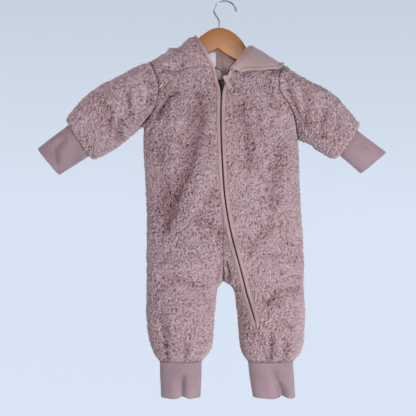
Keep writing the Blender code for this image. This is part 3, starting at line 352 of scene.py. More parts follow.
# share as above, height the hood stands above the nape seam
STAND = {"right": [(0, 2), (0.3, 3), (0.5, 6), (0.6, 20), (0.7, 36), (1, 42)],
         "left": [(0, 2), (0.3, 3), (0.5, 4), (0.6, 9), (0.7, 17), (0.8, 29), (1, 42)]}

# %% tables of sleeves, cuffs and hanger
# top x, top z, bottom x, bottom z, half depth; the first ring lies on the armhole
SLEEVE = {
    "right": [(-118, -97, -129, -197, 23), (-133, -103, -138, -205, 27),
              (-150, -110.5, -151, -215.5, 29), (-174, -122.6, -173, -232, 30),
              (-203, -137.5, -194, -245.5, 29),
              (-229, -158, -205, -250, 27), (-246, -178, -210.5, -251.5, 25),
              (-252.5, -189, -213.5, -250.5, 22), (-250.5, -194, -215, -247.5, 19)],
    "left": [(95, -103, 115.2, -222, 23), (111, -113.5, 123, -224, 27), (130, -125, 136, -229, 29),
             (154, -137, 148, -237, 30), (176, -152, 158, -244, 29), (193, -171.5, 167, -248.5, 27),
             (206, -187, 174, -250.5, 25), (213.5, -198.5, 179.5, -249, 22),
             (212, -204, 182.5, -246, 19)],
}
WRIST = {
    "right": [(-249.3, -197.0, -217.0, -246.6, 17.6), (-266, -209.5, -232.5, -256.5, 17.2),
              (-298.2, -234.4, -263.8, -276.5, 16)],
    "left": [(211.0, -206.0, 184.6, -246.6, 17.6), (226, -217.5, 196, -256, 17.2),
             (256.6, -240.3, 216.8, -273.9, 16)],
}
# z, outer x, inner x, half depth
ANKLE = {
    "right": [(-573.4, -104.0, -37.0, 22.6), (-600, -103.6, -37.4, 22), (-630, -102.4, -38.8, 20)],
    "left": [(-573.4, 108.6, 36.8, 22.6), (-600, 110.4, 39.5, 22), (-630, 112.6, 44.6, 20)],
}
# the tongue of jersey behind the zip: z, left x, right x, depth under the cloth's face
GUARD = [(-152, -15, -4.6, 5.75), (-140, -17, -5.0, 5.75), (-127.2, -21, -5.4, 5.75),
         (-123, -22.5, -5.8, 4.5), (-117, -23.5, -6.6, 4.5), (-113.5, -23, -8.6, 4.5),
         (-111, -20.5, -12.5, 4.5)]
GUARD_THICK = 1.0
# x, top z, bottom z
HANGER = [
    (-197, -150.5, -162), (-192, -145.5, -166), (-175, -134.5, -160), (-150, -121, -147.5),
    (-118, -103.6, -131.5), (-80, -80.2, -110), (-50, -62.2, -93.5), (-44, -60.4, -90.5),
    (-40.5, -57.4, -89.5), (-37, -54.5, -88), (-27, -47.5, -82.8), (-20, -44.0, -79.8),
    (-11.8, -42.4, -75.3), (-3, -42.8, -82), (8, -46.8, -88.9), (18, -53.5, -94), (24.5, -60, -97),
    (30, -67.3, -98.5), (34, -74.5, -99.5), (37.5, -83.8, -100.8), (42, -86.7, -102.5),
    (60, -95.7, -113), (95, -114.0, -134), (130, -131.5, -155), (155, -145.0, -166),
    (168, -156.0, -171),
    (173, -162.5, -170),
]
print("rows of measurements:", sum(len(t) for t in BODY.values()) + len(ZIP) + len(HANGER))

# %% [markdown]
# ## Curves through a table
#
# A monotone cubic goes through every measured point and never swings past it, which a plain
# spline would do at a sudden change such as the crotch.

# %% small maths
def smooth_table(rows, x):
    """Monotone cubic through a table; the first column is the variable."""
    table = np.array(sorted(rows), float)
    xs, ys = table[:, 0], table[:, 1:]
    x = np.clip(np.asarray(x, float), xs[0], xs[-1])
    h = np.diff(xs)
    slope = np.diff(ys, axis=0) / h[:, None]
    m = np.zeros_like(ys)
    m[0], m[-1] = slope[0], slope[-1]
    for k in range(1, len(xs) - 1):
        a, b = slope[k - 1], slope[k]
        w1, w2 = 2 * h[k] + h[k - 1], h[k] + 2 * h[k - 1]
        with np.errstate(divide="ignore", invalid="ignore"):
            mean = (w1 + w2) / (w1 / a + w2 / b)
        m[k] = np.where(a * b > 0, mean, 0.0)
    k = np.clip(np.searchsorted(xs, x, side="right") - 1, 0, len(xs) - 2)
    t = ((x - xs[k]) / h[k])[..., None]
    hk = h[k][..., None]
    return (ys[k] * (2 * t**3 - 3 * t**2 + 1) + m[k] * hk * (t**3 - 2 * t**2 + t)
            + ys[k + 1] * (-2 * t**3 + 3 * t**2) + m[k + 1] * hk * (t**3 - t**2))


def power(v, p):
    """A power that keeps the sign."""
    return np.sign(v) * np.abs(v) ** p


def unit(v):
    return v / np.maximum(np.linalg.norm(v, axis=-1, keepdims=True), 1e-12)


def ramp(x, low, high):
    """0 below low, 1 above high, smooth between."""
    t = np.clip((np.asarray(x, float) - low) / (high - low), 0, 1)
    return t * t * (3 - 2 * t)


def run_along(points):
    """Length of a line from its start to each of its points."""
    return np.concatenate([[0], np.cumsum(np.linalg.norm(np.diff(points, axis=0), axis=1))])


def evenly(points, count):
    """Points spaced evenly round a closed line."""
    line = np.concatenate([points, points[:1]])
    s = run_along(line)
    at = np.linspace(0, s[-1], count, endpoint=False)
    return np.stack([np.interp(at, s, line[:, k]) for k in range(3)], 1)


print("zip middle at the chest:", smooth_table(ZIP, -230.0).round(2))

# %% [markdown]
# ## The shape of the body
#
# Seen from above, each half of the filled-out garment is close to half an ellipse, a little
# boxier, and near the hanger it closes to a ridge. One function gives the point of the cloth at
# a height and at a share of the way from side seam to inner edge. Every front and back panel is a
# grid of such points.

# %% body surface
DENSE = 72               # points on an outline when its arc length is measured
NECK_TOP = -142.0        # above this height the zip's cloth edges part into the neck


def ridge_z(half, x):
    """Height of the fold over the hanger at x."""
    x0, z0, slope, _ = RIDGE[half]
    return z0 - slope * np.maximum(SIDES[half] * (np.asarray(x, float) - x0), 0.0)


def rounding(half, x, z):
    """Share of the full depth that the cloth has left near the ridge."""
    d = np.clip((ridge_z(half, x) - z) / RIDGE_R, 0.0, 1.0)
    return np.sqrt(np.clip(1 - (1 - d) ** 2, 0, 1))


def section(half, face, z):
    """Outline at height z: centre, half width, depth, middle, first and last angle."""
    s = SIDES[half]
    side, inner, wf, wb, mid, front, back, arm = np.moveaxis(smooth_table(BODY[half], z), -1, 0)
    wrap, depth = (wf, front) if face == "front" else (wb, back)
    inner = np.where(inner == CENTRE, CENTRE + s * HALF, inner)
    width = np.abs(side - inner)
    low = (np.maximum(arm, HALF) / depth) ** (1 / POWER)
    first = np.arcsin(np.clip(low, 0, 1))
    a = width * (1 - wrap / 2) / np.cos(first) ** POWER
    centre = side - s * width * (1 - wrap / 2)
    reach = np.clip(s * (centre - inner) / a, 0, 1)
    last = math.pi - np.arccos(np.clip(reach ** (1 / POWER), 0, 1))
    last = np.minimum(last, math.pi - np.arcsin((0.22 / depth) ** (1 / POWER)))
    return centre, a, depth, mid, first, last


def angle_at(half, face, x, z):
    """Angle on the section's outline at which the cloth has this x."""
    centre, a, _, _, first, last = section(half, face, z)
    c = np.clip(SIDES[half] * (x - centre) / a, -1, 1)
    return np.clip(np.arccos(power(c, 1 / POWER)), first, last)


def body(half, face, c, z, start=None, end=None):
    """Point of the outer surface: c from 0 (side) to 1 (inner edge) by arc length, at height z."""
    c, z = np.broadcast_arrays(np.asarray(c, float), np.asarray(z, float))
    shape = c.shape
    c, z = c.ravel(), z.ravel()
    centre, a, depth, mid, first, last = section(half, face, z)
    if start is not None:
        first = angle_at(half, face, start(z), z)
    if end is not None:
        last = angle_at(half, face, end(z), z)
    phi = first[:, None] + (last - first)[:, None] * np.linspace(0, 1, DENSE)
    x = centre[:, None] + SIDES[half] * a[:, None] * power(np.cos(phi), POWER)
    y = depth[:, None] * np.abs(np.sin(phi)) ** POWER
    ds = np.hypot(np.diff(x, axis=1), np.diff(y, axis=1))
    s = np.concatenate([np.zeros((len(c), 1)), np.cumsum(ds, axis=1)], axis=1)
    target = c * s[:, -1]
    k = np.clip((s <= target[:, None]).sum(axis=1) - 1, 0, DENSE - 2)
    i = np.arange(len(c))
    t = (target - s[i, k]) / np.maximum(s[i, k + 1] - s[i, k], 1e-9)
    px = x[i, k] * (1 - t) + x[i, k + 1] * t
    py = (y[i, k] * (1 - t) + y[i, k + 1] * t) * rounding(half, px, z)
    py = mid + (-py if face == "front" else py)
    return np.stack([px, py, z], -1).reshape(shape + (3,))


def depth_at(half, face, x, z, rounded=True):
    """y of the outer surface at x, z."""
    x, z = np.broadcast_arrays(np.asarray(x, float), np.asarray(z, float))
    centre, a, depth, mid, _, _ = section(half, face, z)
    c = np.clip(np.abs(x - centre) / a, 0, 1) ** (1 / POWER)
    y = depth * np.sqrt(np.maximum(1 - c**2, 0)) ** POWER
    if rounded:
        y = y * rounding(half, x, z)
    return mid + (-y if face == "front" else y)


chest = depth_at("left", "back", 40, -250) - depth_at("left", "front", 40, -250)
print("chest is", round(float(chest), 1), "mm deep")

# %% where the zip's cloth edges run
def zip_at(z):
    """x of the zip's middle and half its open gap."""
    middle, gap = np.moveaxis(smooth_table(ZIP, z), -1, 0)
    return middle, gap


def zip_slant(z):
    """How much wider than its true width a strip along the zip is at one height."""
    return np.hypot(1.0, (zip_at(z + 1.0)[0] - zip_at(z - 1.0)[0]) / 2.0)


def cloth_edge(z, way):
    """x of a cloth edge beside the zip; way -1 is the wearer's right."""
    middle, gap = zip_at(z)
    wide = (gap + BIND + PLY) * zip_slant(z)
    closing = np.clip((z - (ZIP_END - 6.0)) / 6.0, 0, 1)
    return middle + way * np.where(z < ZIP_END, HALF + (wide - HALF) * closing, wide)


def front_inner(half, z):
    """x of a front's inner edge: beside the zip, and above it at the open neck."""
    x = cloth_edge(z, SIDES[half])
    if half == "right":
        x = np.minimum(x, CENTRE - HALF)
    return np.where(z > NECK_TOP, smooth_table(NECK_EDGE[half], z)[..., 0], x)


def front_at(x, z):
    """y of the front at x, z, on either half."""
    x, z = np.broadcast_arrays(np.asarray(x, float), np.asarray(z, float))
    return np.where(x < CENTRE, depth_at("right", "front", x, z), depth_at("left", "front", x, z))


def front_point(x, z, depth):
    """Point at a depth under the front's surface, measured square to it."""
    dx = (front_at(x + 1, z) - front_at(x - 1, z)) / 2
    dz = (front_at(x, z + 1) - front_at(x, z - 1)) / 2
    return np.array([x, front_at(x, z), z]) - depth * unit(np.array([dx, -1.0, dz]))


# %% [markdown]
# ## Curls
#
# Pile cloth of this kind is knitted with long loops that are tumbled until they curl into small
# worms and knots, 3 to 5 mm across, with dark pits between. A shader bump alone would leave the
# outline of the garment smooth. So the curls are real: each vertex moves along its normal by a
# sum of rounded cells and short winding ridges. Most of the cloth is high, and narrow cracks part
# the tufts, wider ones where a fold presses them. All of it comes from a hashed lattice in space,
# so it is the same at each run. The height is also kept on the mesh, where the material reads it.

# %% lattice noise
def lattice(cell, seed):
    """A number from 0 to 1 for each whole-numbered cell."""
    i, j, k = (cell[..., n].astype(np.int64) for n in range(3))
    n = (i * 73856093) ^ (j * 19349663) ^ (k * 83492791) ^ (seed * 265443576)
    n = (n ^ (n >> 13)) * 1274126177
    n = (n ^ (n >> 15)) * 668265263
    return ((n ^ (n >> 17)) & 0xFFFFF) / float(0xFFFFF)


def soft_noise(points, size, seed):
    """Smooth noise from 0 to 1 with lumps of about the given size."""
    p = points / size
    base = np.floor(p)
    f = p - base
    f = f * f * (3 - 2 * f)
    total = 0.0
    for corner in np.ndindex(2, 2, 2):
        o = np.array(corner)
        weight = np.prod(np.where(o, f, 1 - f), axis=-1)
        total = total + weight * lattice(base + o, seed)
    return total


def knobs(points, size, seed):
    """Rounded bumps packed side by side: height 0 to 1, with a narrow slit round each."""
    p = points / size
    base = np.floor(p)
    near = np.full(p.shape[:-1], 9.0)
    second = near.copy()
    tall = np.zeros(p.shape[:-1])
    for step in np.ndindex(3, 3, 3):
        cell = base + (np.array(step) - 1)
        spot = cell + np.stack([lattice(cell, seed + n) for n in range(3)], -1)
        d = np.linalg.norm(p - spot, axis=-1)
        closer = d < near
        second = np.where(closer, near, np.minimum(second, d))
        near = np.where(closer, d, near)
        tall = np.where(closer, lattice(cell, seed + 7), tall)
    dome = np.sqrt(np.clip(1 - (near / 0.85) ** 2, 0, 1))
    slit = ramp(second - near, 0.0, 0.30)
    return dome * (0.25 + 0.75 * slit) * (0.65 + 0.35 * tall)


def curls(points, press=0.0):
    """Height of the pile from 0 to 1 at points in mm; it parts more where the cloth is pressed."""
    bend = np.stack([soft_noise(points, 3.0, 11 + n) for n in range(3)], -1) - 0.5
    warped = points + 2.4 * bend
    dome = knobs(warped, 3.0, 3)
    worm = 1 - np.abs(2 * soft_noise(warped, 2.5, 21) - 1)
    raw = np.clip(0.88 * dome + 0.36 * worm**2 - 0.10, 0, 1)
    slow = soft_noise(points, 24.0, 71) - 0.5
    parting = np.clip(0.85 + 0.20 * slow + 0.12 * press, 0.6, 1.1)
    return np.clip(1 - parting * (1 - raw) ** 1.25, 0, 1)


probe = curls(np.random.default_rng(1).uniform(0, 60, (2000, 3)))
print("pile height at shares of the cloth:", np.percentile(probe, [5, 20, 50, 80, 95]).round(2))

# %% [markdown]
# ## Creases
#
# Cloth on a hanger is never quite smooth. The soft valleys that the picture shows are laid on as
# strokes: a line seen from the front or from behind, a width and a depth. The hidden back gets
# strokes of the same kind, since the weight hangs from the same two shoulders.

# %% crease strokes
# face, depth in mm (minus is a valley), width in mm, then x and z along the stroke
CREASES = [
    ("front", -5.0, 5, (-77, -150, -88, -155, -97, -170, -106, -186)),
    ("front", 3.0, 8, (-70, -162, -80, -168, -88, -184)),
    ("front", -4.6, 9, (-40, -156, -39, -178, -43, -208, -58, -270, -82, -317, -96, -364)),
    ("front", -2.6, 20, (-52, -190, -60, -240, -76, -290, -98, -340)),
    ("front", 3.4, 13, (-20, -190, -26, -240, -40, -300, -56, -350)),
    ("front", 3.0, 13, (-74, -200, -82, -240, -90, -280)),
    ("front", -3.4, 11, (-100, -250, -94, -290, -98, -330)),
    ("front", -2.6, 9, (-22, -300, -34, -330, -52, -350)),
    ("front", -3.6, 10, (24, -168, 32, -200, 38, -236, 36, -262)),
    ("front", 2.4, 11, (52, -150, 62, -190, 62, -240)),
    ("front", -3.4, 11, (88, -240, 78, -280, 74, -322)),
    ("front", -2.6, 7, (58, -140, 72, -150, 82, -166)),
    ("front", -3.6, 2.6, (-10.5, -447, -9.5, -433, -7.2, -421, -2.6, -413)),
    ("front", -3.6, 2.6, (6.2, -446, 5.5, -433, 2.4, -421, -2.4, -413)),
    ("front", -2.8, 9, (-8, -376, -24, -356, -50, -344)),
    ("front", -2.4, 9, (40, -388, 58, -366, 82, -356)),
    ("front", -2.6, 9, (-40, -456, -62, -446, -92, -444)),
    ("front", 2.2, 10, (-44, -474, -66, -466, -92, -464)),
    ("front", -2.6, 8, (66, -474, 90, -460, 114, -456)),
    ("front", -3.0, 7, (-104, -500, -96, -520, -94, -544)),
    ("front", -3.6, 5, (-95, -546, -94, -556, -92, -568)),
    ("front", -3.2, 5, (-62, -544, -63, -566)),
    ("front", -4.2, 4.5, (72, -530, 71, -550, 70, -566)),
    ("front", -3.2, 5.5, (94, -544, 93, -566)),
    ("front", 2.0, 6, (82, -538, 82, -560)),
    ("front", -3.2, 5, (-117, -132, -116, -146, -119, -166)),
    ("front", -4.6, 5.5, (-152, -148, -151, -160, -150, -182)),
    ("front", 2.4, 6, (-140, -140, -139, -160, -138, -178)),
    ("front", -4.4, 6, (-163, -192, -166, -208, -168, -226)),
    ("front", -3.6, 6.5, (-190, -168, -182, -190, -180, -206)),
    ("front", 2.2, 8, (-176, -160, -170, -180)),
    ("front", -4.4, 5, (98, -126, 102, -152, 113, -180)),
    ("front", 2.2, 6, (108, -132, 112, -152)),
    ("front", -3.4, 7, (128, -142, 130, -168, 126, -198)),
    ("front", -3.4, 6.5, (160, -170, 154, -196, 152, -216)),
    ("front", -2.6, 6, (178, -184, 174, -204)),
    ("back", -4.2, 7, (-96, -140, -100, -160, -112, -184)),
    ("back", -5.0, 12, (-70, -220, -62, -250, -60, -290)),
    ("back", 2.6, 12, (-44, -226, -38, -260, -36, -300)),
    ("back", -4.4, 11, (58, -222, 50, -252, 52, -296)),
    ("back", -3.0, 10, (94, -240, 86, -280, 84, -320)),
    ("back", -4.2, 9, (-90, -392, -54, -374, -14, -368)),
    ("back", -4.2, 9, (88, -396, 48, -376, 8, -368)),
    ("back", 2.8, 11, (-80, -372, -46, -352, -10, -346)),
    ("back", 2.8, 11, (78, -376, 42, -354, 6, -346)),
    ("back", -3.2, 8, (-96, -470, -70, -460, -40, -462)),
    ("back", -3.2, 8, (98, -470, 74, -462, 46, -464)),
    ("back", -4.4, 6, (-150, -146, -150, -176)),
    ("back", -3.6, 6.5, (-176, -182, -170, -212)),
    ("back", -4.4, 6, (126, -146, 128, -184)),
    ("back", -3.4, 6.5, (158, -176, 152, -210)),
    ("back", -3.4, 5, (-84, -546, -85, -568)),
    ("back", -3.4, 5, (88, -546, 88, -568)),
]


def stroke_distance(points, line):
    """Distance of each point (x, z) from a stroke."""
    best = np.full(points.shape[:-1], 1e9)
    for a, b in zip(line[:-1], line[1:]):
        t = np.clip(((points - a) @ (b - a)) / ((b - a) @ (b - a)), 0, 1)
        best = np.minimum(best, np.linalg.norm(points - a - t[..., None] * (b - a), axis=-1))
    return best


def creases(points, normals):
    """How far the cloth moves along its normal, in mm."""
    total = np.zeros(points.shape[:-1])
    flat = points[..., [0, 2]]
    for face, depth, width, line in CREASES:
        way = -1.0 if face == "front" else 1.0
        seen = ramp(way * normals[..., 1], 0.05, 0.45)
        line = np.array(line, float).reshape(-1, 2)
        reach = 2.6 * width
        box = np.all((flat > line.min(0) - reach) & (flat < line.max(0) + reach), axis=-1)
        if box.any():
            best = stroke_distance(flat[box], line)
            total[box] += depth * np.exp(-((best / width) ** 2)) * seen[box]
    return total


def pressed(moved):
    """How pressed the pile is: 1 in a deep fold, 0 on open cloth; it masks painted crease shade."""
    return np.clip(-moved / 5.0, 0, 1)


def sag(points):
    """Slow unevenness of the hanging cloth, a few centimetres across."""
    return 2.2 * (soft_noise(points, 46.0, 51) - 0.5) + 1.4 * (soft_noise(points, 19.0, 57) - 0.5)


print("strokes:", len(CREASES))

# %% [markdown]
# ## From a grid to a sewn piece
#
# A cut piece is a thin closed body: a fine outer face with its curls, a plain knitted back that
# needs only every fourth point, and an edge that joins the two. Along a seam the pile is drawn
# inward, which gives the dark line between two pieces; painted shade in the material darkens it
# more. The edge faces have five points on the fine side and two on the coarse side, so the body
# stays closed without extra triangles.

# %% grids
def grid_faces(rows, cols, first=0, flip=False, closed=False):
    """Quads of a grid; closed joins its last column to its first."""
    last = cols if closed else cols - 1
    r, c = np.divmod(np.arange((rows - 1) * last), last)
    a, b = first + r * cols + c, first + r * cols + (c + 1) % cols
    quads = np.stack([a, b, b + cols, a + cols], 1)
    return quads[:, ::-1] if flip else quads


def grid_normals(grid, flip, closed=False):
    """Outward normals of a grid of points."""
    along = np.gradient(grid, axis=0)
    if closed:
        across = np.roll(grid, -1, 1) - np.roll(grid, 1, 1)
    else:
        across = np.gradient(grid, axis=1)
    n = unit(np.cross(across, along))
    return -n if flip else n


def edge_distance(grid, closed=False):
    """Distance in mm from each grid point to the piece's own edge, along rows and columns."""
    down = np.linalg.norm(np.diff(grid, axis=0), axis=-1)
    down = np.concatenate([np.zeros((1, grid.shape[1])), np.cumsum(down, axis=0)])
    near = np.minimum(down, down[-1] - down)
    if not closed:
        over = np.linalg.norm(np.diff(grid, axis=1), axis=-1)
        over = np.concatenate([np.zeros((grid.shape[0], 1)), np.cumsum(over, axis=1)], axis=1)
        near = np.minimum(near, np.minimum(over, over[:, -1:] - over))
    return near


def cut_size(grid, closed=False):
    """Width and length of the flat cut, and its area, in metres."""
    ring = np.concatenate([grid, grid[:, :1]], 1) if closed else grid
    across = np.linalg.norm(np.diff(ring, axis=1), axis=-1).sum(1)
    down = np.linalg.norm(np.diff(ring, axis=0), axis=-1).sum(0)
    u, v = np.diff(ring, axis=1)[:-1], np.diff(ring, axis=0)[:, :-1]
    area = np.linalg.norm(np.cross(u, v), axis=-1).sum()
    return float(across.max()) * MM, float(down.max()) * MM, float(area) * MM * MM


# %% the piece maker
STEP = 4                 # one back point for so many outer points
TALL = 4.4               # pile height from pit to tip, mm
SINK = 3.0               # how far a pit lies under the CAD surface
SEAM = 2.6               # width of the strip beside a seam in which the pile is drawn in
TUCK, LEFT = 1.5, 1.6    # there: how deep a pit lies, and the height the pile has left
HOOD_TUCK, HOOD_LEFT = 0.9, 0.8          # the same on the hood
CROTCH_Z = -428.0        # middle of the stretch where the two legs touch


def closed_faces(rows, cols, flip, closed):
    """Outer quads, back quads and rim faces of a cloth body; the back points follow the outer."""
    outer = grid_faces(rows, cols, flip=flip, closed=closed)
    n = rows * cols
    br, bc = (rows - 1) // STEP + 1, cols // STEP if closed else (cols - 1) // STEP + 1
    back = grid_faces(br, bc, first=n, flip=not flip, closed=closed)

    def rim(fine, coarse):
        if flip:
            fine, coarse = fine[::-1], coarse[::-1]
        return [tuple(fine[STEP * k:STEP * k + STEP + 1][::-1]) + (coarse[k], coarse[k + 1])
                for k in range(len(coarse) - 1)]

    wrap = [0] if closed else []
    top = list(range(cols)) + wrap
    top_back = [n + c for c in list(range(bc)) + wrap]
    low = [(rows - 1) * cols + c for c in list(range(cols)) + wrap]
    low_back = [n + (br - 1) * bc + c for c in list(range(bc)) + wrap]
    edges = rim(top, top_back) + rim(low[::-1], low_back[::-1])
    if not closed:
        right = [r * cols + cols - 1 for r in range(rows)]
        right_back = [n + r * bc + bc - 1 for r in range(br)]
        left = [r * cols for r in range(rows)]
        left_back = [n + r * bc for r in range(br)]
        edges += rim(right, right_back) + rim(left[::-1], left_back[::-1])
    return outer, back, edges


def store(obj, **layers):
    """Keep numbers for the material: a layer has its outer points' values and one for the rest."""
    for name, (values, rest) in layers.items():
        whole = np.full(len(obj.data.vertices), rest, np.float32)
        whole[:values.size] = values.ravel()
        layer = obj.data.attributes.new(name, "FLOAT", "POINT")
        layer.data.foreach_set("value", whole)


def sewn_pile(name, grid, flip, closed=False, tuck=None):
    """A piece of pile cloth on a grid of points of its outer face."""
    rows, cols, _ = grid.shape
    normals = grid_normals(grid, flip, closed)
    fold = creases(grid, normals)
    near = edge_distance(grid, closed)
    shape = (fold + sag(grid)) * ramp(near, 0, 7)
    if tuck is None:
        tuck = 1 - ramp(near + 2.0 * (soft_noise(grid, 4.5, 73) - 0.5), 0, SEAM)
    height = curls(grid, pressed(fold))
    clump = 1.6 * (soft_noise(grid, 9.5, 41) - 0.5)
    out = shape + (1 - tuck) * (clump + TALL * height - SINK) + tuck * (LEFT * height - TUCK)
    # between the legs the two halves touch, so nothing is drawn in there
    between = (np.abs(grid[..., 0] - CENTRE) < 3.5) & (np.abs(grid[..., 2] - CROTCH_Z) < 25)
    out = np.where(between, np.maximum(out, -0.05), out)
    outer = grid + normals * out[..., None]
    inner = (grid + normals * (shape - PILE)[..., None])[::STEP, ::STEP]
    verts = np.concatenate([outer.reshape(-1, 3), inner.reshape(-1, 3)]) * MM
    fine, back, rim = closed_faces(rows, cols, flip, closed)
    faces = fine.tolist() + back.tolist() + rim
    made = mesh_object(name + "_cloth", verts, faces, [pile_cloth, knit_back])
    slots = np.zeros(len(faces), np.int32)
    slots[len(fine):] = 1
    made.data.polygons.foreach_set("material_index", slots)
    # layers for painted shade in folds, seams and pits and a painted highlight on the tips
    store(made, pile=(height, 0.5), seam=(tuck, 0.0), fold=(pressed(fold), 0.0))
    width, length, area = cut_size(grid, closed)
    print(f"{name}: {len(faces)} faces, cut {width * 1000:.0f} x {length * 1000:.0f} mm,"
          f" {area * 1e4:.0f} cm2")
    return made, (width, length), area


def placed(made, cad_node, body="garment"):
    """Hang a piece on the body that carries it and hide the CAD node that it replaces."""
    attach(made, body)
    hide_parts(cad_node)


def sewn_in(made, cad_node):
    """Hang a sheet on the garment and hide the CAD node that it stands for."""
    placed(made, cad_node)


# %% [markdown]
# ## The pile cloth's finish
#
# The yarn is a dusty mauve. The colour runs with the stored pile height: painted shade turns
# the pits a deep plum and a painted highlight makes the tips paler. Slow patches shift it a little
# as brushed pile does. Finer fibres than the mesh can hold are a bump of short twisted noise. A
# second stored number, the depth of a fold, darkens the colour there: painted shade in the creases.
# A weak sheen gives the pale fuzz that a hairy surface shows at its edges.

# %% pile material
# stops of the pile's colour ramp: painted shade in the pits, the yarn's own mauve in the middle, a
# painted highlight on the tips
PIT_SHADE, LOW_SHADE = (0.100, 0.045, 0.052), (0.250, 0.150, 0.158)
MID, TIP_HIGHLIGHT = (0.400, 0.272, 0.286), (0.545, 0.402, 0.414)
CREASE_SHADE_TINT = (0.76, 0.68, 0.70, 1)
SEAM_SHADE = (0.13, 0.055, 0.062, 1)

pile_cloth, tree, shader = plain_material("pile_cloth", MID, 0.95)
where = node(tree, "TexCoord").outputs["Object"]
height = node(tree, "Attribute", attribute_name="pile").outputs["Fac"]
seam = node(tree, "Attribute", attribute_name="seam").outputs["Fac"]
fold = node(tree, "Attribute", attribute_name="fold").outputs["Fac"]
fibre = noise_at(tree, where, 0.0010, 3, 0.6, 0.8)
bend = node(tree, "TexNoise", [("Vector", where)], Scale=1 / 0.0032, Detail=1.0)
shift = node(tree, "VectorMath", [("Vector", bend.outputs["Color"])], operation="MULTIPLY_ADD")
shift.inputs[1].default_value = (0.0024, 0.0024, 0.0024)
tree.links.new(where, shift.inputs[2])
curl = node(tree, "TexVoronoi", [("Vector", shift.outputs[0])], feature="SMOOTH_F1",
            Scale=1 / 0.0018, Smoothness=0.35)
tips = sums(tree, "SUBTRACT", 0.85, curl.outputs["Distance"])
level = sums(tree, "MULTIPLY_ADD", tips, 0.20, sums(tree, "MULTIPLY", height, 0.90))
level = sums(tree, "MULTIPLY_ADD", sums(tree, "SUBTRACT", fibre, 0.5), 0.25, level)
# painted shade in the pits and a painted highlight on the tips, by pile height
color = ramp_node(tree, level, [(0.16, PIT_SHADE), (0.36, LOW_SHADE), (0.60, MID), (0.98, TIP_HIGHLIGHT)])
patch = noise_at(tree, where, 0.05, 2)
color = mix_color(tree, "MULTIPLY", 1.0, color,
                  ramp_node(tree, patch, [(0.3, (0.93, 0.91, 0.92)), (0.7, (1.0, 1.0, 1.0))]))
# painted shade in the creases: the stored fold depth darkens the colour
color = mix_color(tree, "MULTIPLY", fold, color, CREASE_SHADE_TINT)
# painted shade along the seams, darkening the groove of the drawn-in pile
color = mix_color(tree, "MIX", sums(tree, "MULTIPLY", seam, 0.42), color, SEAM_SHADE)
tree.links.new(color, shader.inputs["Base Color"])
fine_bump = bump(tree, fibre, 0.0007, 0.7)
tree.links.new(bump(tree, tips, 0.0012, 0.8, fine_bump), shader.inputs["Normal"])
shader.inputs["Sheen Weight"].default_value = 0.15
shader.inputs["Sheen Roughness"].default_value = 0.55
shader.inputs["Sheen Tint"].default_value = (1.0, 0.88, 0.90, 1)
shader.inputs["Specular IOR Level"].default_value = 0.1

# %% [markdown]
# The back of the pile cloth is its ground knit: fine columns of loops in the same mauve. It shows
# inside the neck, the cuffs and the legs. Two crossed sine waves make the loops.

# %% knit materials
def loops(tree, where, wide, tall):
    """Height of a fine knit: columns of small loops."""
    xyz = node(tree, "SeparateXYZ", [("Vector", where)])
    column = sums(tree, "SINE", sums(tree, "MULTIPLY", xyz.outputs[0], 2 * math.pi / wide))
    zigzag = sums(tree, "MULTIPLY", sums(tree, "ABSOLUTE", column), 0.5)
    row = sums(tree, "ADD", sums(tree, "MULTIPLY", xyz.outputs[1], 2 * math.pi / tall),
               sums(tree, "MULTIPLY", zigzag, 3.0))
    return sums(tree, "ADD", sums(tree, "MULTIPLY", sums(tree, "SINE", row), 0.35), zigzag)


def knit(name, color, wide=0.0011, tall=0.0009, deep=0.00022, by_uv=True):
    """Smooth jersey: its loops, faint streaks along the columns and slow cloudy wear."""
    made, tree, shader = plain_material(name, color, 0.88)
    spot = node(tree, "TexCoord")
    where = spot.outputs["UV"] if by_uv else spot.outputs["Object"]
    dark = tuple(0.80 * c for c in color)
    pale = tuple(min(1.0, 1.13 * c) for c in color)
    cloud = noise_at(tree, spot.outputs["Object"], 0.030, 3)
    tone = ramp_node(tree, cloud, [(0.25, dark), (0.5, color), (0.8, pale)])
    stretch = node(tree, "Mapping", [("Vector", where)], vector_type="TEXTURE")
    stretch.inputs["Scale"].default_value = (0.0012, 0.02, 1.0)
    streak = node(tree, "TexNoise", [("Vector", stretch.outputs[0])], Scale=1.0, Detail=2.0)
    streaks = ramp_node(tree, streak.outputs["Fac"], [(0.3, (0.93, 0.92, 0.93)), (0.7, (1, 1, 1))])
    tone = mix_color(tree, "MULTIPLY", 1.0, tone, streaks)
    weave = loops(tree, where, wide, tall)
    # painted shade in the gaps between the loops
    loop_gap_shade = ramp_node(tree, weave, [(0.0, (0.88, 0.87, 0.88)), (0.6, (1, 1, 1))])
    tone = mix_color(tree, "MULTIPLY", 1.0, tone, loop_gap_shade)
    fuzz = noise_at(tree, spot.outputs["Object"], 0.0009, 2)
    tree.links.new(tone, shader.inputs["Base Color"])
    fine = bump(tree, fuzz, 0.00018, 0.5)
    tree.links.new(bump(tree, weave, deep, 0.7, fine), shader.inputs["Normal"])
    shader.inputs["Sheen Weight"].default_value = 0.25
    shader.inputs["Sheen Roughness"].default_value = 0.5
    shader.inputs["Sheen Tint"].default_value = (1.0, 0.93, 0.95, 1)
    shader.inputs["Specular IOR Level"].default_value = 0.2
    return made


knit_back = knit("knit_back", (0.35, 0.225, 0.222), wide=0.0016, tall=0.0013, deep=0.0003,
                 by_uv=False)
jersey = knit("jersey", (0.305, 0.205, 0.222))
jersey_binding = knit("jersey_binding", (0.420, 0.275, 0.268), wide=0.0010, tall=0.0008)
jersey_lining = knit("jersey_lining", (0.370, 0.250, 0.240))
print("materials so far:", [m.name for m in bpy.data.materials])

# %% [markdown]
# ## Body panels
#
# Right and left back, right and left front, and the gore: the inner part of the left leg, cut off
# by the slanting zip. Rows fan out from the neck seam to the armpit and are level below it.
# Columns run by arc length, so the curls keep one size round the side.

# %% panel grids
FINE = 1.28              # mesh step down the panels, mm


def count_for(length):
    """Number of points for a length: a multiple of the back's step, plus one."""
    return max(2, int(round(length / FINE / STEP))) * STEP + 1


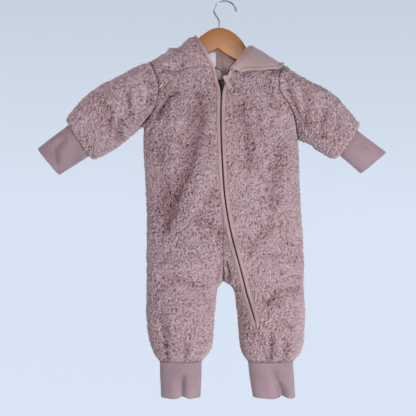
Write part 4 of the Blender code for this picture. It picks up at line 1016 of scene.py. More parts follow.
def panel(half, face, cols, start=None, end=None, neck=None, top=None):
    """Grid of a body panel; start and end give the x of its slanting edges."""
    c = np.linspace(0, 1, cols)
    armpit = ARMPIT[half] if top is None else top
    rows = []
    if neck is not None:
        seam_z = smooth_table(neck, c)[:, 0]
        upper = count_for(float(np.abs(seam_z - armpit).mean())) - 1
        rows += [seam_z + (armpit - seam_z) * t for t in np.linspace(0, 1, upper, endpoint=False)]
    rows += [np.full(cols, z) for z in np.linspace(armpit, LEG_END, count_for(armpit - LEG_END))]
    return body(half, face, c, np.array(rows), start, end)


def end_right(z):
    return np.where(z > GORE_TIP + 3, front_inner("right", z), 1e3)


def end_left(z):
    return front_inner("left", z)


def hem_tuck(grid):
    """At the legs' ends the pile rolls in over a longer way than at a seam."""
    near = edge_distance(grid)
    low = 1 - ramp(grid[..., 2] - LEG_END, 0, 7)
    return np.maximum(1 - ramp(near, 0, SEAM), low)


grids = {
    "front_right": panel("right", "front", 129, end=end_right, neck=NECK["right"]),
    "front_left": panel("left", "front", 121, end=end_left, neck=NECK["left"]),
    "back_right": panel("right", "back", 125, neck=NAPE["right"]),
    "back_left": panel("left", "back", 121, neck=NAPE["left"]),
    "front_gore": panel("left", "front", 41, start=lambda z: cloth_edge(z, -1), top=GORE_TIP),
}
print("panel grids:", {k: g.shape[:2] for k, g in grids.items()})

# %% sew the panels
for name, grid in grids.items():
    half = "left" if name.endswith(("left", "gore")) else "right"
    flip = (SIDES[half] > 0) != name.startswith("front")
    made, size, area = sewn_pile(name, grid, flip, tuck=hem_tuck(grid))
    sewn_in(made, name)

# %% [markdown]
# ## The hood
#
# The hood is down: from the front neck seam it lies over the hanger, falls behind as a bag, turns
# up at the bag's bottom and is sewn to the back neck. Each half is one grid in that order. On the
# wearer's left its edge is turned out like a lapel and shows the lining. Extra columns follow the
# turned edge over a small round fold and lie on the hood's front.

# %% hood grid
HOOD_COLS = 81
HOOD_ROWS = (36, 84, 28, 90, 4, 26)      # on its front, back, turn, wall behind, fold and stand
LAPEL_COLS, LAPEL_FOLD = 40, 5           # on the turned-out edge, and round its fold
EDGE_DROP = 42.0                         # way down the back in which it narrows to the nape
STRAIGHT = 20.0                          # the stand keeps the depth it has this far under the ridge


def hood(half, cols, rows):
    """Grid of one half in sewing order, its thickness scale and the rows where its parts start."""
    n_front, n_back, n_turn, n_wall, n_fold, n_stand = rows
    c = np.linspace(0, 1, cols)
    base = body(half, "front", c, smooth_table(NECK[half], c)[:, 0],
                end=lambda z: front_inner(half, z))
    nape = body(half, "back", c, smooth_table(NAPE[half], c)[:, 0])
    x_neck, _, _, x_arm = RIDGE[half]
    x_top = x_arm + (x_neck - x_arm) * c
    bag = smooth_table(BAG, c)
    z_bag, radius = nape[:, 2] - bag[:, 0], bag[:, 1]
    stand = smooth_table(STAND[half], c)[:, 0]
    tall = radius * np.hypot(1.0, np.gradient(z_bag, nape[:, 0]))
    tall = np.minimum(tall, np.maximum((ridge_z(half, x_arm) - z_bag) * 0.45, radius))
    grid, marks = [], {}
    for k in np.linspace(0, 1, n_front, endpoint=False):
        v = 1 - (1 - k) ** 2
        x = base[:, 0] + (x_top - base[:, 0]) * v
        z0 = base[:, 2] + PLY
        z = z0 + (ridge_z(half, x) - z0) * v
        grid.append(np.stack([x, depth_at(half, "front", x, z), z], -1))
    marks["ridge"] = len(grid)
    z_end = z_bag + tall
    for k in np.linspace(0, 1, n_back, endpoint=False):
        z_top = ridge_z(half, x_top)
        z = z_top + (z_end - z_top) * (k**2 * (1 - 0.55 * k) / 0.45)
        fall = np.clip((z_top - z) / np.minimum(EDGE_DROP, z_top - z_end), 0, 1)
        x = x_top + (nape[:, 0] - x_top) * fall * (2 - fall)
        d = np.clip((ridge_z(half, x_top) - z) / RIDGE_R, 0, 1)
        r = np.sqrt(1 - (1 - d) ** 2)
        off = np.sin(math.pi / 2 * np.clip(d / 0.5, 0, 1))
        y = depth_at(half, "back", x, z, False) * r + (AIR + 2 * radius) * off
        grid.append(np.stack([x, y, z], -1))
    x = nape[:, 0]
    marks["turn"] = len(grid)

    def behind(z, q):
        return (depth_at(half, "back", x, z, False) + q) * rounding(
            half, x, np.minimum(z, ridge_z(half, x) - STRAIGHT))

    for k in np.linspace(0, 1, n_turn, endpoint=False):
        z = z_bag + tall - tall * np.sin(math.pi * k)
        grid.append(np.stack([x, behind(z, AIR + radius + radius * np.cos(math.pi * k)), z], -1))
    marks["wall"] = len(grid)
    z_seam = nape[:, 2] + PLY
    z_fold = z_seam + stand
    for k in np.linspace(0, 1, n_wall, endpoint=False):
        z = z_end + (z_fold - z_end) * k
        grid.append(np.stack([x, behind(z, AIR + (2 * FOLD - AIR) * k), z], -1))
    marks["fold"] = len(grid)
    for k in np.linspace(0, 1, n_fold, endpoint=False):
        z = z_fold + FOLD * np.sin(math.pi * k)
        grid.append(np.stack([x, behind(z_fold, FOLD + FOLD * np.cos(math.pi * k)), z], -1))
    for k in np.linspace(0, 1, n_stand):
        z = z_fold + (z_seam - z_fold) * k
        grid.append(np.stack([x, behind(z, 0.0), z], -1))
    grid = np.array(grid)
    edge_z = ridge_z(half, x_neck) - EDGE_DROP
    back = grid[marks["ridge"]:marks["turn"], -1, 2]
    marks["crown"] = marks["ridge"] + int(np.argmin(np.abs(back - edge_z)))
    # the cloth is thinner near the armholes, and where it carries the weight on the hanger
    way = run_along(grid[:, cols // 2])
    way = way - way[marks["ridge"]]
    thin = np.minimum(1.0, radius / (HOOD + 2.2))
    scale = 1 + (thin - 1)[None, :] * ramp(way, -14, 12)[:, None]
    scale = np.minimum(scale, 1 - (1 - CRUSH) * np.exp(-((way[:, None] / 11) ** 2)))
    return grid, scale, marks


# %% turned-out edge
def lapel(half, grid, marks, cols):
    """Extra columns that turn over at the neck edge and lie on the hood."""
    rows, n, _ = grid.shape
    free = np.abs(grid[:marks["crown"], -1, 0] - CENTRE) > 8.0
    last = int(np.nonzero(free)[0].max())
    normals = grid_normals(grid, SIDES[half] > 0)
    ridge = marks["ridge"]
    unit_row = ridge / 6.0
    out, tips = [], []
    for j in range(last + 1):
        if j <= ridge:
            f = j / ridge
            ce = 0.90 - 0.83 * min(1.0, f / 0.8) ** 1.1
            re = (0.08 + 0.9 * min(1.0, max(0.0, (0.4 - ce) / 0.33))) * unit_row
            if f > 0.8:
                re += (ridge - re) * (f - 0.8) / 0.2
        else:
            ce, re = 0.07 + 0.83 * (j - ridge) / (last - ridge), float(j)
        rim, nr = grid[j, -1], normals[j, -1]
        out_dir = unit(grid[j, -1] - grid[j, -2])
        a = np.linspace(0, math.pi, LAPEL_FOLD + 2)[1:-1, None]
        turn = rim + FOLD * nr + FOLD * (np.sin(a) * out_dir - np.cos(a) * nr)
        w = np.linspace(0, 1, cols)
        cc, rr = (1 + (ce - 1) * w) * (n - 1), j + (re - j) * w
        c0, r0 = np.minimum(cc.astype(int), n - 2), np.minimum(rr.astype(int), rows - 2)
        fc, fr = (cc - c0)[:, None], (rr - r0)[:, None]

        def mix(g):
            return ((g[r0, c0] * (1 - fc) + g[r0, c0 + 1] * fc) * (1 - fr)
                    + (g[r0 + 1, c0] * (1 - fc) + g[r0 + 1, c0 + 1] * fc) * fr)

        tip = 1 - ramp(cc / (n - 1), 0.06, 0.5)             # pressed thin towards the armhole
        lift = 2 * FOLD + 2.6 * np.minimum(1, 4 * w) * min(1, (1 - ce) / 0.25) * (1 - 0.9 * tip)
        out.append(np.concatenate([turn, mix(grid) + lift[:, None] * unit(mix(normals))]))
        tips.append(np.concatenate([np.zeros(len(turn)), tip]))
    return np.array(out), np.array(tips), last


# x, rise and width of the places where an outline leaves the hanger's line: the lapel's runs almost
# straight, and the right shoulder's is lumpy
LAPEL_LINE = [(38, 4.5, 10), (70, -2.0, 9), (95, 4.2, 8)]
SHOULDER_LINE = [(-49, -1.2, 3.0), (-57, 1.6, 3.0), (-74, -4.4, 6.0), (-87, 4.4, 5.0),
                 (-103, 1.2, 5.0), (-112, -0.8, 4.0)]
FADE = 13.0              # how far below the ridge they fade out


def outline_rise(half, points, line):
    """How far the cloth near the ridge rises, in mm."""
    x, z = points[..., 0], points[..., 2]
    total = sum(tall * np.exp(-(((x - at) / wide) ** 2)) for at, tall, wide in line)
    return total * np.exp(-(((ridge_z(half, x) - z) / FADE) ** 2))


def hood_mesh(half):
    """Points, faces and normals of one half, with its scale, turned-out part and open edge."""
    grid, scale, marks = hood(half, HOOD_COLS, HOOD_ROWS)
    if half == "left":
        grid[..., 2] += outline_rise("left", grid, LAPEL_LINE)
    n_rows, n, _ = grid.shape
    flip = SIDES[half] > 0
    normals = grid_normals(grid, flip).reshape(-1, 3)
    made = SimpleNamespace(grid=grid, marks=marks, verts=grid.reshape(-1, 3), normals=normals,
                           faces=grid_faces(n_rows, n, flip=flip), scale=scale.reshape(-1))
    made.turned_out = np.zeros(len(made.verts))
    if half == "right":
        made.edge = np.arange(marks["crown"] + 1) * n + n - 1
        return made
    extra, tips, last = lapel(half, grid, marks, LAPEL_COLS)
    m, first = extra.shape[1], len(made.verts)
    made.verts = np.concatenate([made.verts, extra.reshape(-1, 3)])
    at_rim = scale[:last + 1, -1:]
    made.scale = np.concatenate([made.scale, (at_rim * (1 - 0.55 * tips)).ravel()])
    r = np.arange(last)
    join = np.stack([r * n + n - 1, first + r * m, first + (r + 1) * m, (r + 1) * n + n - 1], 1)
    join = join[:, ::-1] if flip else join
    made.faces = np.concatenate([made.faces, join, grid_faces(last + 1, m, first, flip)])
    whole = np.concatenate([grid[:last + 1, -1:], extra], axis=1)
    more = grid_normals(whole, flip)[:, 1:]
    made.normals = np.concatenate([normals, more.reshape(-1, 3)])
    rim = np.arange(last + 1) * n + n - 1
    made.normals[rim] = unit(made.normals[rim] + more[:, 0])
    made.turned_out = np.concatenate([made.turned_out, np.ones(len(made.verts) - first)])
    made.edge = first + np.arange(last + 1) * m + m - 1
    return made


hoods = {half: hood_mesh(half) for half in SIDES}
print("points of the hood's halves:", [len(made.verts) for made in hoods.values()])

# %% [markdown]
# Two plies make each half: pile outside and jersey inside. Each ply is closed round its edge.
# The pile is 4 mm thick, and the jersey lies 0.6 mm under it. Where the lapel is turned out, the
# pile is pressed flat between the layers, so it gets no curls there.

# %% two plies of the hood
def rim_faces(faces, n):
    """Faces that close a ply round its open edge."""
    a = faces.ravel()
    b = np.roll(faces, -1, axis=1).ravel()
    forward = a * (n + 1) + b
    backward = b * (n + 1) + a
    alone = ~np.isin(forward, backward)
    a, b = a[alone], b[alone]
    return np.stack([b, a, a + n, b + n], 1)


def ply(name, half, near, far, material, lift=0.0):
    """One ply between two depths under the hood's outer face; lift raises its curls."""
    top = half.verts + half.normals * (lift - near * half.scale)[:, None]
    low = half.verts - half.normals * (far * half.scale)[:, None]
    n = len(half.verts)
    faces = np.concatenate([half.faces, half.faces[:, ::-1] + n, rim_faces(half.faces, n)])
    return mesh_object(name + "_cloth", np.concatenate([top, low]) * MM, faces, [material])


def surface_area(verts, faces):
    v = verts[faces]
    doubled = np.linalg.norm(np.cross(v[:, 2] - v[:, 0], v[:, 3] - v[:, 1]), axis=1).sum()
    return float(doubled / 2) * MM * MM


def uv_from_grid(made, u, v):
    """Store texture places in metres, one for each point."""
    layer = made.data.uv_layers.new(name="cloth")
    loops_at = np.zeros(len(made.data.loops), np.int32)
    made.data.loops.foreach_get("vertex_index", loops_at)
    uv = np.stack([u[loops_at], v[loops_at]], 1).astype(np.float32)
    layer.data.foreach_set("uv", uv.ravel())


for half, made in hoods.items():
    verts, grid, show = made.verts, made.grid, 1 - made.turned_out
    near = np.concatenate([edge_distance(grid).ravel(), np.zeros(len(verts) - grid[..., 0].size)])
    seam = 1 - ramp(near, 0, SEAM)
    if half == "left":
        # the fold itself is no seam: the pile goes on round it
        n = grid.shape[1]
        rows_in = np.arange(grid.shape[0])[:, None] * n + np.arange(n - 5, n)[None]
        seam[rows_in[:made.marks["crown"]].ravel()] = 0.3
    height = curls(verts)
    slack = 2.2 * (soft_noise(verts, 24.0, 61) - 0.5) + 2.0 * (soft_noise(verts, 9.5, 67) - 0.5)
    if half == "right":
        slack += outline_rise("right", verts, SHOULDER_LINE)
    full = (TALL * height - SINK) * np.clip(made.scale, 0.6, 1) + slack
    drawn = made.scale * (HOOD_LEFT * height - HOOD_TUCK)
    lift = show * ((1 - seam) * full + seam * drawn)
    pile = ply("hood_" + half, made, 0.0, PILE, pile_cloth, lift)
    # the same layers for the painted shade in folds, seams and pits and the painted tip highlight
    store(pile, pile=(height * show + 0.5 * (1 - show), 0.5), seam=(seam * show, 0.0),
          fold=(pressed(1.6 * slack) * show, 0.0))
    lining = ply("hood_lining_" + half, made, PILE + LINED, HOOD, jersey_lining)
    uv_from_grid(lining, np.tile(verts[:, 0] * MM, 2), np.tile(verts[:, 2] * MM, 2))
    area = surface_area(verts, made.faces)
    width, length, _ = cut_size(grid)
    width = max(width, area / length * 1.02)
    sewn_in(pile, "hood_" + half)
    sewn_in(lining, "hood_lining_" + half)
    print(pile.name, "cut", round(width, 3), "x", round(length, 3), "area", round(area, 4))

# %% [markdown]
# ## Sleeves
#
# A sleeve is a tube sewn round the armhole. Its first ring is the armhole itself, taken from the
# panels' and the hood's own edge points, so the two always meet. Further out the rings turn into
# the measured ovals.

# %% sleeve rings
def armhole_loop(half):
    """Points round the armhole: up the front panel, over the hood, down the back panel."""
    front, back = grids["front_" + half], grids["back_" + half]
    n_front = int(np.argmax(front[:, 0, 2] <= ARMPIT[half] + 1e-6)) + 1
    n_back = int(np.argmax(back[:, 0, 2] <= ARMPIT[half] + 1e-6)) + 1
    hood_side = hoods[half].grid[1:hoods[half].marks["ridge"] + 1, 0]
    top = hood_side[-1]
    z = top[2] + (back[0, 0, 2] - top[2]) * np.array([0.12, 0.4, 0.75])
    x = top[0] + (back[0, 0, 0] - top[0]) * np.array([0.2, 0.5, 0.85])
    down = np.stack([x, depth_at(half, "back", x, z), z], -1)
    armpit = 0.5 * (front[n_front - 1, 0] + back[n_back - 1, 0])
    return np.concatenate([[armpit], front[:n_front - 1, 0][::-1], hood_side, down,
                           back[:n_back - 1, 0]])


def sleeve_ring(half, u, theta):
    """The measured oval at share u of the sleeve's length."""
    table = np.array(SLEEVE[half], float)
    mids = (table[:, :2] + table[:, 2:4]) / 2
    t = run_along(mids)
    rows = [(a, *b) for a, b in zip(t / t[-1], SLEEVE[half])]
    return oval(*smooth_table(rows, np.array(u)), theta)


def oval(tx, tz, bx, bz, d, theta):
    """Boxy oval from its top point, bottom point and half depth, in mm."""
    m = np.array([(tx + bx) / 2, 0, (tz + bz) / 2])
    h = np.array([(tx - bx) / 2, 0, (tz - bz) / 2])
    return (m - power(np.cos(theta), POWER)[:, None] * h
            - power(np.sin(theta), POWER)[:, None] * np.array([0, d, 0]))


def sleeve_rings(half, points, rings):
    """Rings from the armhole to the wrist, each starting under the arm."""
    loop = evenly(armhole_loop(half), points)
    zs = loop[:, 2]
    top = int(np.argmax(zs))
    up = np.arccos(np.clip(1 - 2 * (zs - zs[0]) / (zs[top] - zs[0]), -1, 1))
    theta = np.where(np.arange(points) <= top, up, 2 * math.pi - up)
    even = np.linspace(0, 2 * math.pi, points, endpoint=False)
    delta = loop - sleeve_ring(half, 0.0, theta)
    out = []
    for u in np.linspace(0, 1, rings):
        # round the sleeve the points go from the armhole's spacing to an even one
        turn = theta + (even - theta) * ramp(u, 0.1, 0.6)
        ring = sleeve_ring(half, u, turn) + delta * max(0.0, 1 - u / 0.30) ** 2
        ring[:, 0] += SIDES[half] * 0.5 * (1 - ramp(u, 0, 0.05))
        out.append(ring)
    return np.array(out)


SLEEVE_MESH = {"right": (176, 113), "left": (184, 101)}     # points round, rings along
sleeves = {half: sleeve_rings(half, *SLEEVE_MESH[half]) for half in SIDES}
for half, grid in sleeves.items():
    made, size, area = sewn_pile("sleeve_" + half, grid, half == "left", closed=True)
    sewn_in(made, "sleeve_" + half)

# %% [markdown]
# ## Cuffs
#
# A cuff is a tube of jersey folded double: down the outside, round the soft fold at the hem and up
# inside. One ring after another makes that whole loop, so the hem is truly round and the tube has
# a real thickness. A few strokes press folds into the limp ends.

# %% cuff folds
# cuff, depth mm, width mm, then x and z along the stroke as seen from the front
CUFF_FOLDS = [
    ("ankle_cuff_left", -9.5, 4.2, (74, -588, 82, -604, 90, -621, 94, -640)),
    ("ankle_cuff_left", 3.4, 5.0, (88, -590, 96, -606, 102, -622, 106, -640)),
    ("ankle_cuff_left", 1.6, 7.0, (62, -594, 70, -610, 76, -630)),
    ("ankle_cuff_right", -6.5, 4.0, (-67, -592, -68, -610, -68, -640)),
    ("ankle_cuff_right", 2.2, 6.0, (-56, -600, -57, -640)),
    ("ankle_cuff_right", 1.8, 7.0, (-82, -600, -82, -640)),
    ("wrist_cuff_right", -6.0, 5.5, (-254, -222, -264, -230, -271, -240, -268, -256)),
    ("wrist_cuff_right", 3.2, 7.0, (-244, -226, -253, -240, -258, -258)),
    ("wrist_cuff_right", -1.6, 6.0, (-236, -236, -242, -250)),
    ("wrist_cuff_left", -3.6, 6.0, (218, -222, 230, -236, 238, -252)),
    ("wrist_cuff_left", 1.4, 8.0, (206, -232, 214, -250)),
]
# cuff, x of the place where a fold draws the front hem up, how far, how wide
HEM_RISES = [("ankle_cuff_left", 90, 3.0, 8), ("ankle_cuff_right", -66, 2.4, 7)]


def fold_strokes(name, points, face):
    """How far a cuff's folds move its outer face, in mm."""
    total = np.zeros(points.shape[:-1])
    for cuff, depth, width, line in CUFF_FOLDS:
        if cuff == name:
            best = stroke_distance(points[..., [0, 2]], np.array(line, float).reshape(-1, 2))
            total += depth * np.exp(-((best / width) ** 2)) * face
    return total


PUCKERS = 46             # small gathers round the seam


def double_cuff(name, rings, flip, first=None):
    """Closed tube of doubled jersey. rings is the outer face from the seam to the hem."""
    if first is not None:
        share = np.linspace(0, 1, len(rings))[:, None, None]
        rings = rings + (first - rings[0]) * np.clip(1 - share / 0.22, 0, 1) ** 2
    rows, n, _ = rings.shape
    normals = grid_normals(rings, flip, closed=True)
    facing = ramp(-normals[..., 1], -0.1, 0.5)
    grow = ramp(np.linspace(0, 1, rows), 0.05, 0.75)[:, None]
    shape = fold_strokes(name, rings, facing) * grow
    # a fold on the far side too, smaller
    shape += 0.6 * fold_strokes(name, rings, ramp(normals[..., 1], -0.1, 0.5)) * grow
    shape += 0.7 * (soft_noise(rings, 17.0, 71) - 0.5) * grow
    at_seam = (1 - ramp(np.linspace(0, 1, rows), 0, 0.16))[:, None]
    pucker = 0.35 * np.sin(np.arange(n) * 2 * math.pi / n * PUCKERS) * at_seam
    outer = rings + normals * (shape + pucker)[..., None]
    for cuff, x, rise, wide in HEM_RISES:
        if cuff == name:
            lift = rise * np.exp(-(((rings[..., 0] - x) / wide) ** 2)) * np.maximum(facing, 0.3)
            outer[..., 2] += lift * np.linspace(0, 1, rows)[:, None] ** 2
    inner = outer - normals * CUFF
    down = unit(outer[-1] - outer[-3])
    mid, r = (outer[-1] + inner[-1]) / 2, CUFF / 2
    hem = [mid + r * (math.cos(a) * normals[-1] + math.sin(a) * down)
           for a in np.linspace(0, math.pi, 8)[1:-1]]
    loop = np.concatenate([outer, hem, inner[::-1][::2]])      # the inside needs half the rings
    m = len(loop)
    faces = grid_faces(m, n, flip=flip, closed=True)
    k = np.arange(n)
    top, bottom = k, (m - 1) * n + k
    close = np.stack([bottom, (m - 1) * n + (k + 1) % n, (k + 1) % n, top], 1)
    faces = np.concatenate([faces, close[:, ::-1] if flip else close])
    made = mesh_object(name + "_tube", loop.reshape(-1, 3) * MM, faces, [jersey])
    way = run_along(loop[:, 0]) * MM
    around = float(np.linalg.norm(np.roll(rings[0], -1, 0) - rings[0], axis=1).sum()) * MM
    uv_from_grid(made, np.tile(np.arange(n) / n * around, m), np.repeat(way, n))
    width, length, area = cut_size(rings, closed=True)
    return made, (width, length), area


# %% wrists and ankles
def oval_tube(table, n, rings):
    """Rings of n points through a table of ovals."""
    rows = [(a, *b) for a, b in zip(np.linspace(0, 1, len(table)), table)]
    theta = np.linspace(0, 2 * math.pi, n, endpoint=False)
    return np.array([oval(*smooth_table(rows, np.array(f)), theta)
                     for f in np.linspace(0, 1, rings)])


for half in SIDES:
    end = sleeves[half][-1][::2]
    centre = end.mean(axis=0)
    axis = np.linalg.svd(end - centre)[2][-1]
    axis = axis * SIDES[half] * np.sign(axis[0])
    first = centre + 0.93 * (end - centre) - 1.5 * axis
    cuff_rings = oval_tube(WRIST[half], len(end), 45)
    made, size, area = double_cuff("wrist_cuff_" + half, cuff_rings, half == "left", first)
    sewn_in(made, "wrist_cuff_" + half)
    ankle = [(b, a, c, a, d) for a, b, c, d in ANKLE[half]]
    made, size, area = double_cuff("ankle_cuff_" + half, oval_tube(ankle, 120, 47), half == "left")
    sewn_in(made, "ankle_cuff_" + half)
    print("cuffs of the", half, "side: ankle", [round(v, 3) for v in size])

# %% [markdown]
# ## Edge bindings
#
# A folded strip of jersey, 4.2 mm wide, covers the raw edge along the zip and runs on round the
# hood. It is swept along the panels' own edge points, slightly crowned, with a stitched groove
# near the pile. Along the zip it laps a little over the pile.

# %% strips along an edge
CROWN = 0.35             # height of a strip's middle over its edges' level, mm
STITCH = 2.6             # length of a stitch
LAP = 1.2                # how far a strip along the zip laps over the pile
LAP_TOP = -125.0         # up to this height


def crowned(width, low, high):
    """Closed outline of a folded strip: flat below, crowned above, with a stitch groove."""
    x = np.linspace(0, 1, 11)
    top = high - 0.55 + (0.55 + CROWN) * np.sqrt(np.clip(1 - (2 * x - 1) ** 4, 0, 1))
    top -= 0.40 * np.exp(-((x - 0.15) / 0.07) ** 2)
    upper = np.stack([width * x, top], 1)
    lower = np.array([(width * 0.97, low + 0.3), (width * 0.8, low), (width * 0.5, low),
                      (width * 0.2, low), (width * 0.03, low + 0.3)])
    return np.concatenate([upper, lower])


def swept(name, path, side, normal, profile, materials):
    """Body from an outline that runs along a path; each point may have its own."""
    rings = path[:, None] + side[:, None] * profile[..., :1] + normal[:, None] * profile[..., 1:]
    return closed_bar(name, rings, materials)


def volume_sign(verts, faces):
    """Above zero where the faces look outward."""
    total = 0.0
    for f in faces:
        a = verts[f[0]]
        for k in range(1, len(f) - 1):
            total += float(np.dot(a, np.cross(verts[f[k]], verts[f[k + 1]])))
    return total


def closed_bar(name, rings, materials):
    """Body through a row of rings, capped at both ends."""
    rows, n, _ = rings.shape
    quads = grid_faces(rows, n, closed=True).tolist()
    faces = quads + [list(range(n))[::-1], list(range((rows - 1) * n, rows * n))]
    verts = rings.reshape(-1, 3)
    if volume_sign(verts - verts.mean(0), faces) < 0:
        faces = [f[::-1] for f in faces]
    made = mesh_object(name, verts * MM, faces, materials)
    way = run_along(rings[:, 0]) * MM
    uv_from_grid(made, np.tile(np.linspace(0, 0.012, n), rows), np.repeat(way, n))
    return made


def bind(name, points, normals, out, low, high=0.5, width=BIND, over=0.0):
    """A strip along an edge: low is its underside's height, over its lap on the cloth."""
    s = run_along(points)
    at = np.linspace(0, s[-1], int(s[-1] / 1.6))

    def take(v):
        return np.stack([np.interp(at, s, v[:, k]) for k in range(v.shape[1])], 1)

    points, normals, out = take(points), unit(take(normals)), take(out)
    low = np.interp(at, s, low)
    over = np.interp(at, s, np.broadcast_to(over, s.shape))
    wide = np.interp(at, s, np.broadcast_to(width, s.shape)) + over
    for _ in range(6):                    # the cloth edge's small steps are smoothed away
        points[1:-1] = (points[:-2] + 2 * points[1:-1] + points[2:]) / 4
    tangent = unit(np.gradient(points, axis=0))
    side = unit(np.cross(tangent, normals))
    side *= np.sign(np.einsum("ij,ij->", side, out))
    normal = unit(np.cross(side, tangent))
    normal *= np.sign(np.einsum("ij,ij->i", normal, normals))[:, None]
    profile = np.array([crowned(w, lo, high) for w, lo in zip(wide, low)])
    stitch = 0.10 * np.sin(at * 2 * math.pi / STITCH)
    profile[:, 1:3, 1] += stitch[:, None]
    profile[..., 0] -= over[:, None]
    made = swept(name + "_strip", points + side * PLY, side, normal, profile, [jersey_binding])
    placed(made, name)
    print(name, "length", round(s[-1]), "mm")


def panel_edge(grid, flip, rows, col):
    """Points, normals and outward directions along a panel's first or last column."""
    normals = grid_normals(grid, flip)
    inner = 1 if col == 0 else col - 1
    return grid[rows, col], normals[rows, col], unit(grid[rows, col] - grid[rows, inner])


# %% width of the strips
def strip_width(z):
    """Near the zip's lower end the two strips close over it and run out to a point."""
    to_middle = np.abs(cloth_edge(z, 1.0) - zip_at(z)[0])
    full = np.maximum(to_middle / zip_slant(z) - PLY - 0.12, 0.25)
    share = ramp(z, ZIP_END + 1, ZIP_END + 11)
    return np.where(z < ZIP_END, full, full + (BIND - full) * share)


print("strip width at the zip's end:", strip_width(ZIP_END + np.array([-5, 0, 5, 13])).round(1))

# %% the three strips
LOWEST = ZIP_END - 5.4
LAPEL_HIGH = -1.8        # the lapel's pile is pressed flat, so its strip lies lower
front_r, gore, front_l = grids["front_right"], grids["front_gore"], grids["front_left"]
rows_r = np.nonzero(front_r[:, -1, 2] > GORE_TIP + 3)[0]
rows_g = np.nonzero(gore[:, 0, 2] >= LOWEST)[0]
rows_l = np.nonzero(front_l[:, -1, 2] >= LOWEST)[0]
upper_part = panel_edge(front_r, True, rows_r, -1)
gore_part = panel_edge(gore, False, rows_g, 0)
right_line = [np.concatenate([a, b])[::-1] for a, b in zip(upper_part, gore_part)]
right_wide = strip_width(right_line[0][:, 2])


def hood_edge(made):
    """Points, normals and outward directions along a hood half's open edge, and its depth."""
    edge, verts = made.edge, made.verts
    outward = unit(verts[edge] - verts[edge - 1])
    return (verts[edge], made.normals[edge], outward), -(HOOD * made.scale[edge] + 0.2)


hood_line, hood_low = hood_edge(hoods["right"])
lows = np.concatenate([np.full(len(right_line[0]), -PILE), hood_low[1:]])
right_line = [np.concatenate([a, b[1:]]) for a, b in zip(right_line, hood_line)]
right_wide = np.concatenate([right_wide, np.full(len(hood_low) - 1, BIND)])
end = len(lows) - 4                       # it stops just short of the hood's centre seam
laps = np.where(right_line[0][:, 2] < LAP_TOP, LAP, 0.0)
bind("edge_binding_right", *(q[:end] for q in right_line), lows[:end], width=right_wide[:end],
     over=laps[:end])

left_line = [q[::-1] for q in panel_edge(front_l, False, rows_l, -1)]
bind("edge_binding_left", *left_line, np.full(len(rows_l), -PILE),
     width=strip_width(left_line[0][:, 2]), over=LAP)
lapel_line, lapel_low = hood_edge(hoods["left"])
bind("lapel_binding", *lapel_line, lapel_low, high=LAPEL_HIGH)

# %% [markdown]
# ## The zip
#
# Between the bindings shows only the coil: a spiral of plum-coloured plastic, one turn each
# 1.3 mm, on a woven tape. Tape and coil are one swept body whose raised middle rises and falls
# with each turn.

# %% tape and coil
def smooth_plastic(name, color, roughness, size=0.0015):
    made, tree, shader = plain_material(name, color, roughness)
    where = node(tree, "TexCoord").outputs["Object"]
    grain = noise_at(tree, where, size, 3)
    dark = tuple(0.7 * c for c in color)
    tree.links.new(ramp_node(tree, grain, [(0.3, dark), (0.7, color)]), shader.inputs["Base Color"])
    tree.links.new(bump(tree, grain, 0.0001, 0.5), shader.inputs["Normal"])
    return made


zip_plum = smooth_plastic("zip_plum", (0.048, 0.020, 0.026), 0.6)
TURN = 1.3               # one turn of the coil, mm
TAPE = 7.0               # half width of the tape
ZIP_TOP = -128.0
TURN_RISE = (-0.2, 0.08, 0.2, 0.08)      # height of the coil at each quarter of a turn


def zip_outline(rise):
    """Outline across the zip: x from its middle and depth under the cloth's face."""
    lo, hi = PILE + 1.4, PILE + 0.6
    return [(-TAPE, lo), (-COIL, lo), (COIL, lo), (TAPE, lo), (TAPE, hi), (COIL + 0.2, hi),
            (COIL, 2.6 - rise), (0.25, 2.2 - rise), (-0.25, 2.2 - rise), (-COIL, 2.6 - rise),
            (-COIL - 0.2, hi), (-TAPE, hi)]


heights = np.arange(ZIP_TOP, ZIP_END - 0.01, -TURN / 4)
rings = []
for k, (x, z) in enumerate(zip(zip_at(heights)[0], heights)):
    surface = front_point(x, z, 0.0)
    inward = front_point(x, z, 1.0) - surface
    rings.append([(x + w, surface[1] + depth * inward[1], z + depth * inward[2])
                  for w, depth in zip_outline(TURN_RISE[k % 4])])
# the tape's wings follow the chest's own curve
rings = np.array(rings)
for col, (_, depth) in enumerate(zip_outline(0)):
    if depth > PILE:
        rings[:, col, 1] = front_at(rings[:, col, 0], heights) + depth
placed(closed_bar("zip_coil", rings, [zip_plum]), "zip")
print("coil turns:", round(len(heights) / 4))

# %% [markdown]
# ## The guard behind the zip
#
# A tongue of jersey lies behind the zip's top so that the slider doesn't touch the chin. It shows
# in the open neck beside the slider. It is one thin body that follows the chest's curve, with a
# rounded top.

# %% zip guard
rings = []
for z in np.linspace(GUARD[0][0], GUARD[-1][0], 44):
    left, right, under = smooth_table(GUARD, z)
    share = np.linspace(-1, 1, 17)
    soft = 0.5 * GUARD_THICK * (1 - np.sqrt(np.clip(1 - np.abs(share) ** 8, 0, 1)))
    x = left + (right - left) * (share + 1) / 2
    near = [front_point(a, z, under + r) for a, r in zip(x, soft)]
    far = [front_point(a, z, under + GUARD_THICK - r) for a, r in zip(x, soft)]
    rings.append(near + far[::-1][1:-1])
guard = closed_bar("zip_guard_tongue", np.array(rings), [jersey_binding])
placed(guard, "zip_guard")
print("guard, mm:", [round(v * 1000) for v in guard.dimensions])

# %% [markdown]
# ## Slider, link and pull tab
#
# The slider is a small cast body: a rounded plate with two wings and a bridge. A bent wire link
# goes through the bridge, and a folded strip of the same jersey hangs from the link, so that a
# zipped-up chin meets nothing hard. Link and strip are the part that moves.

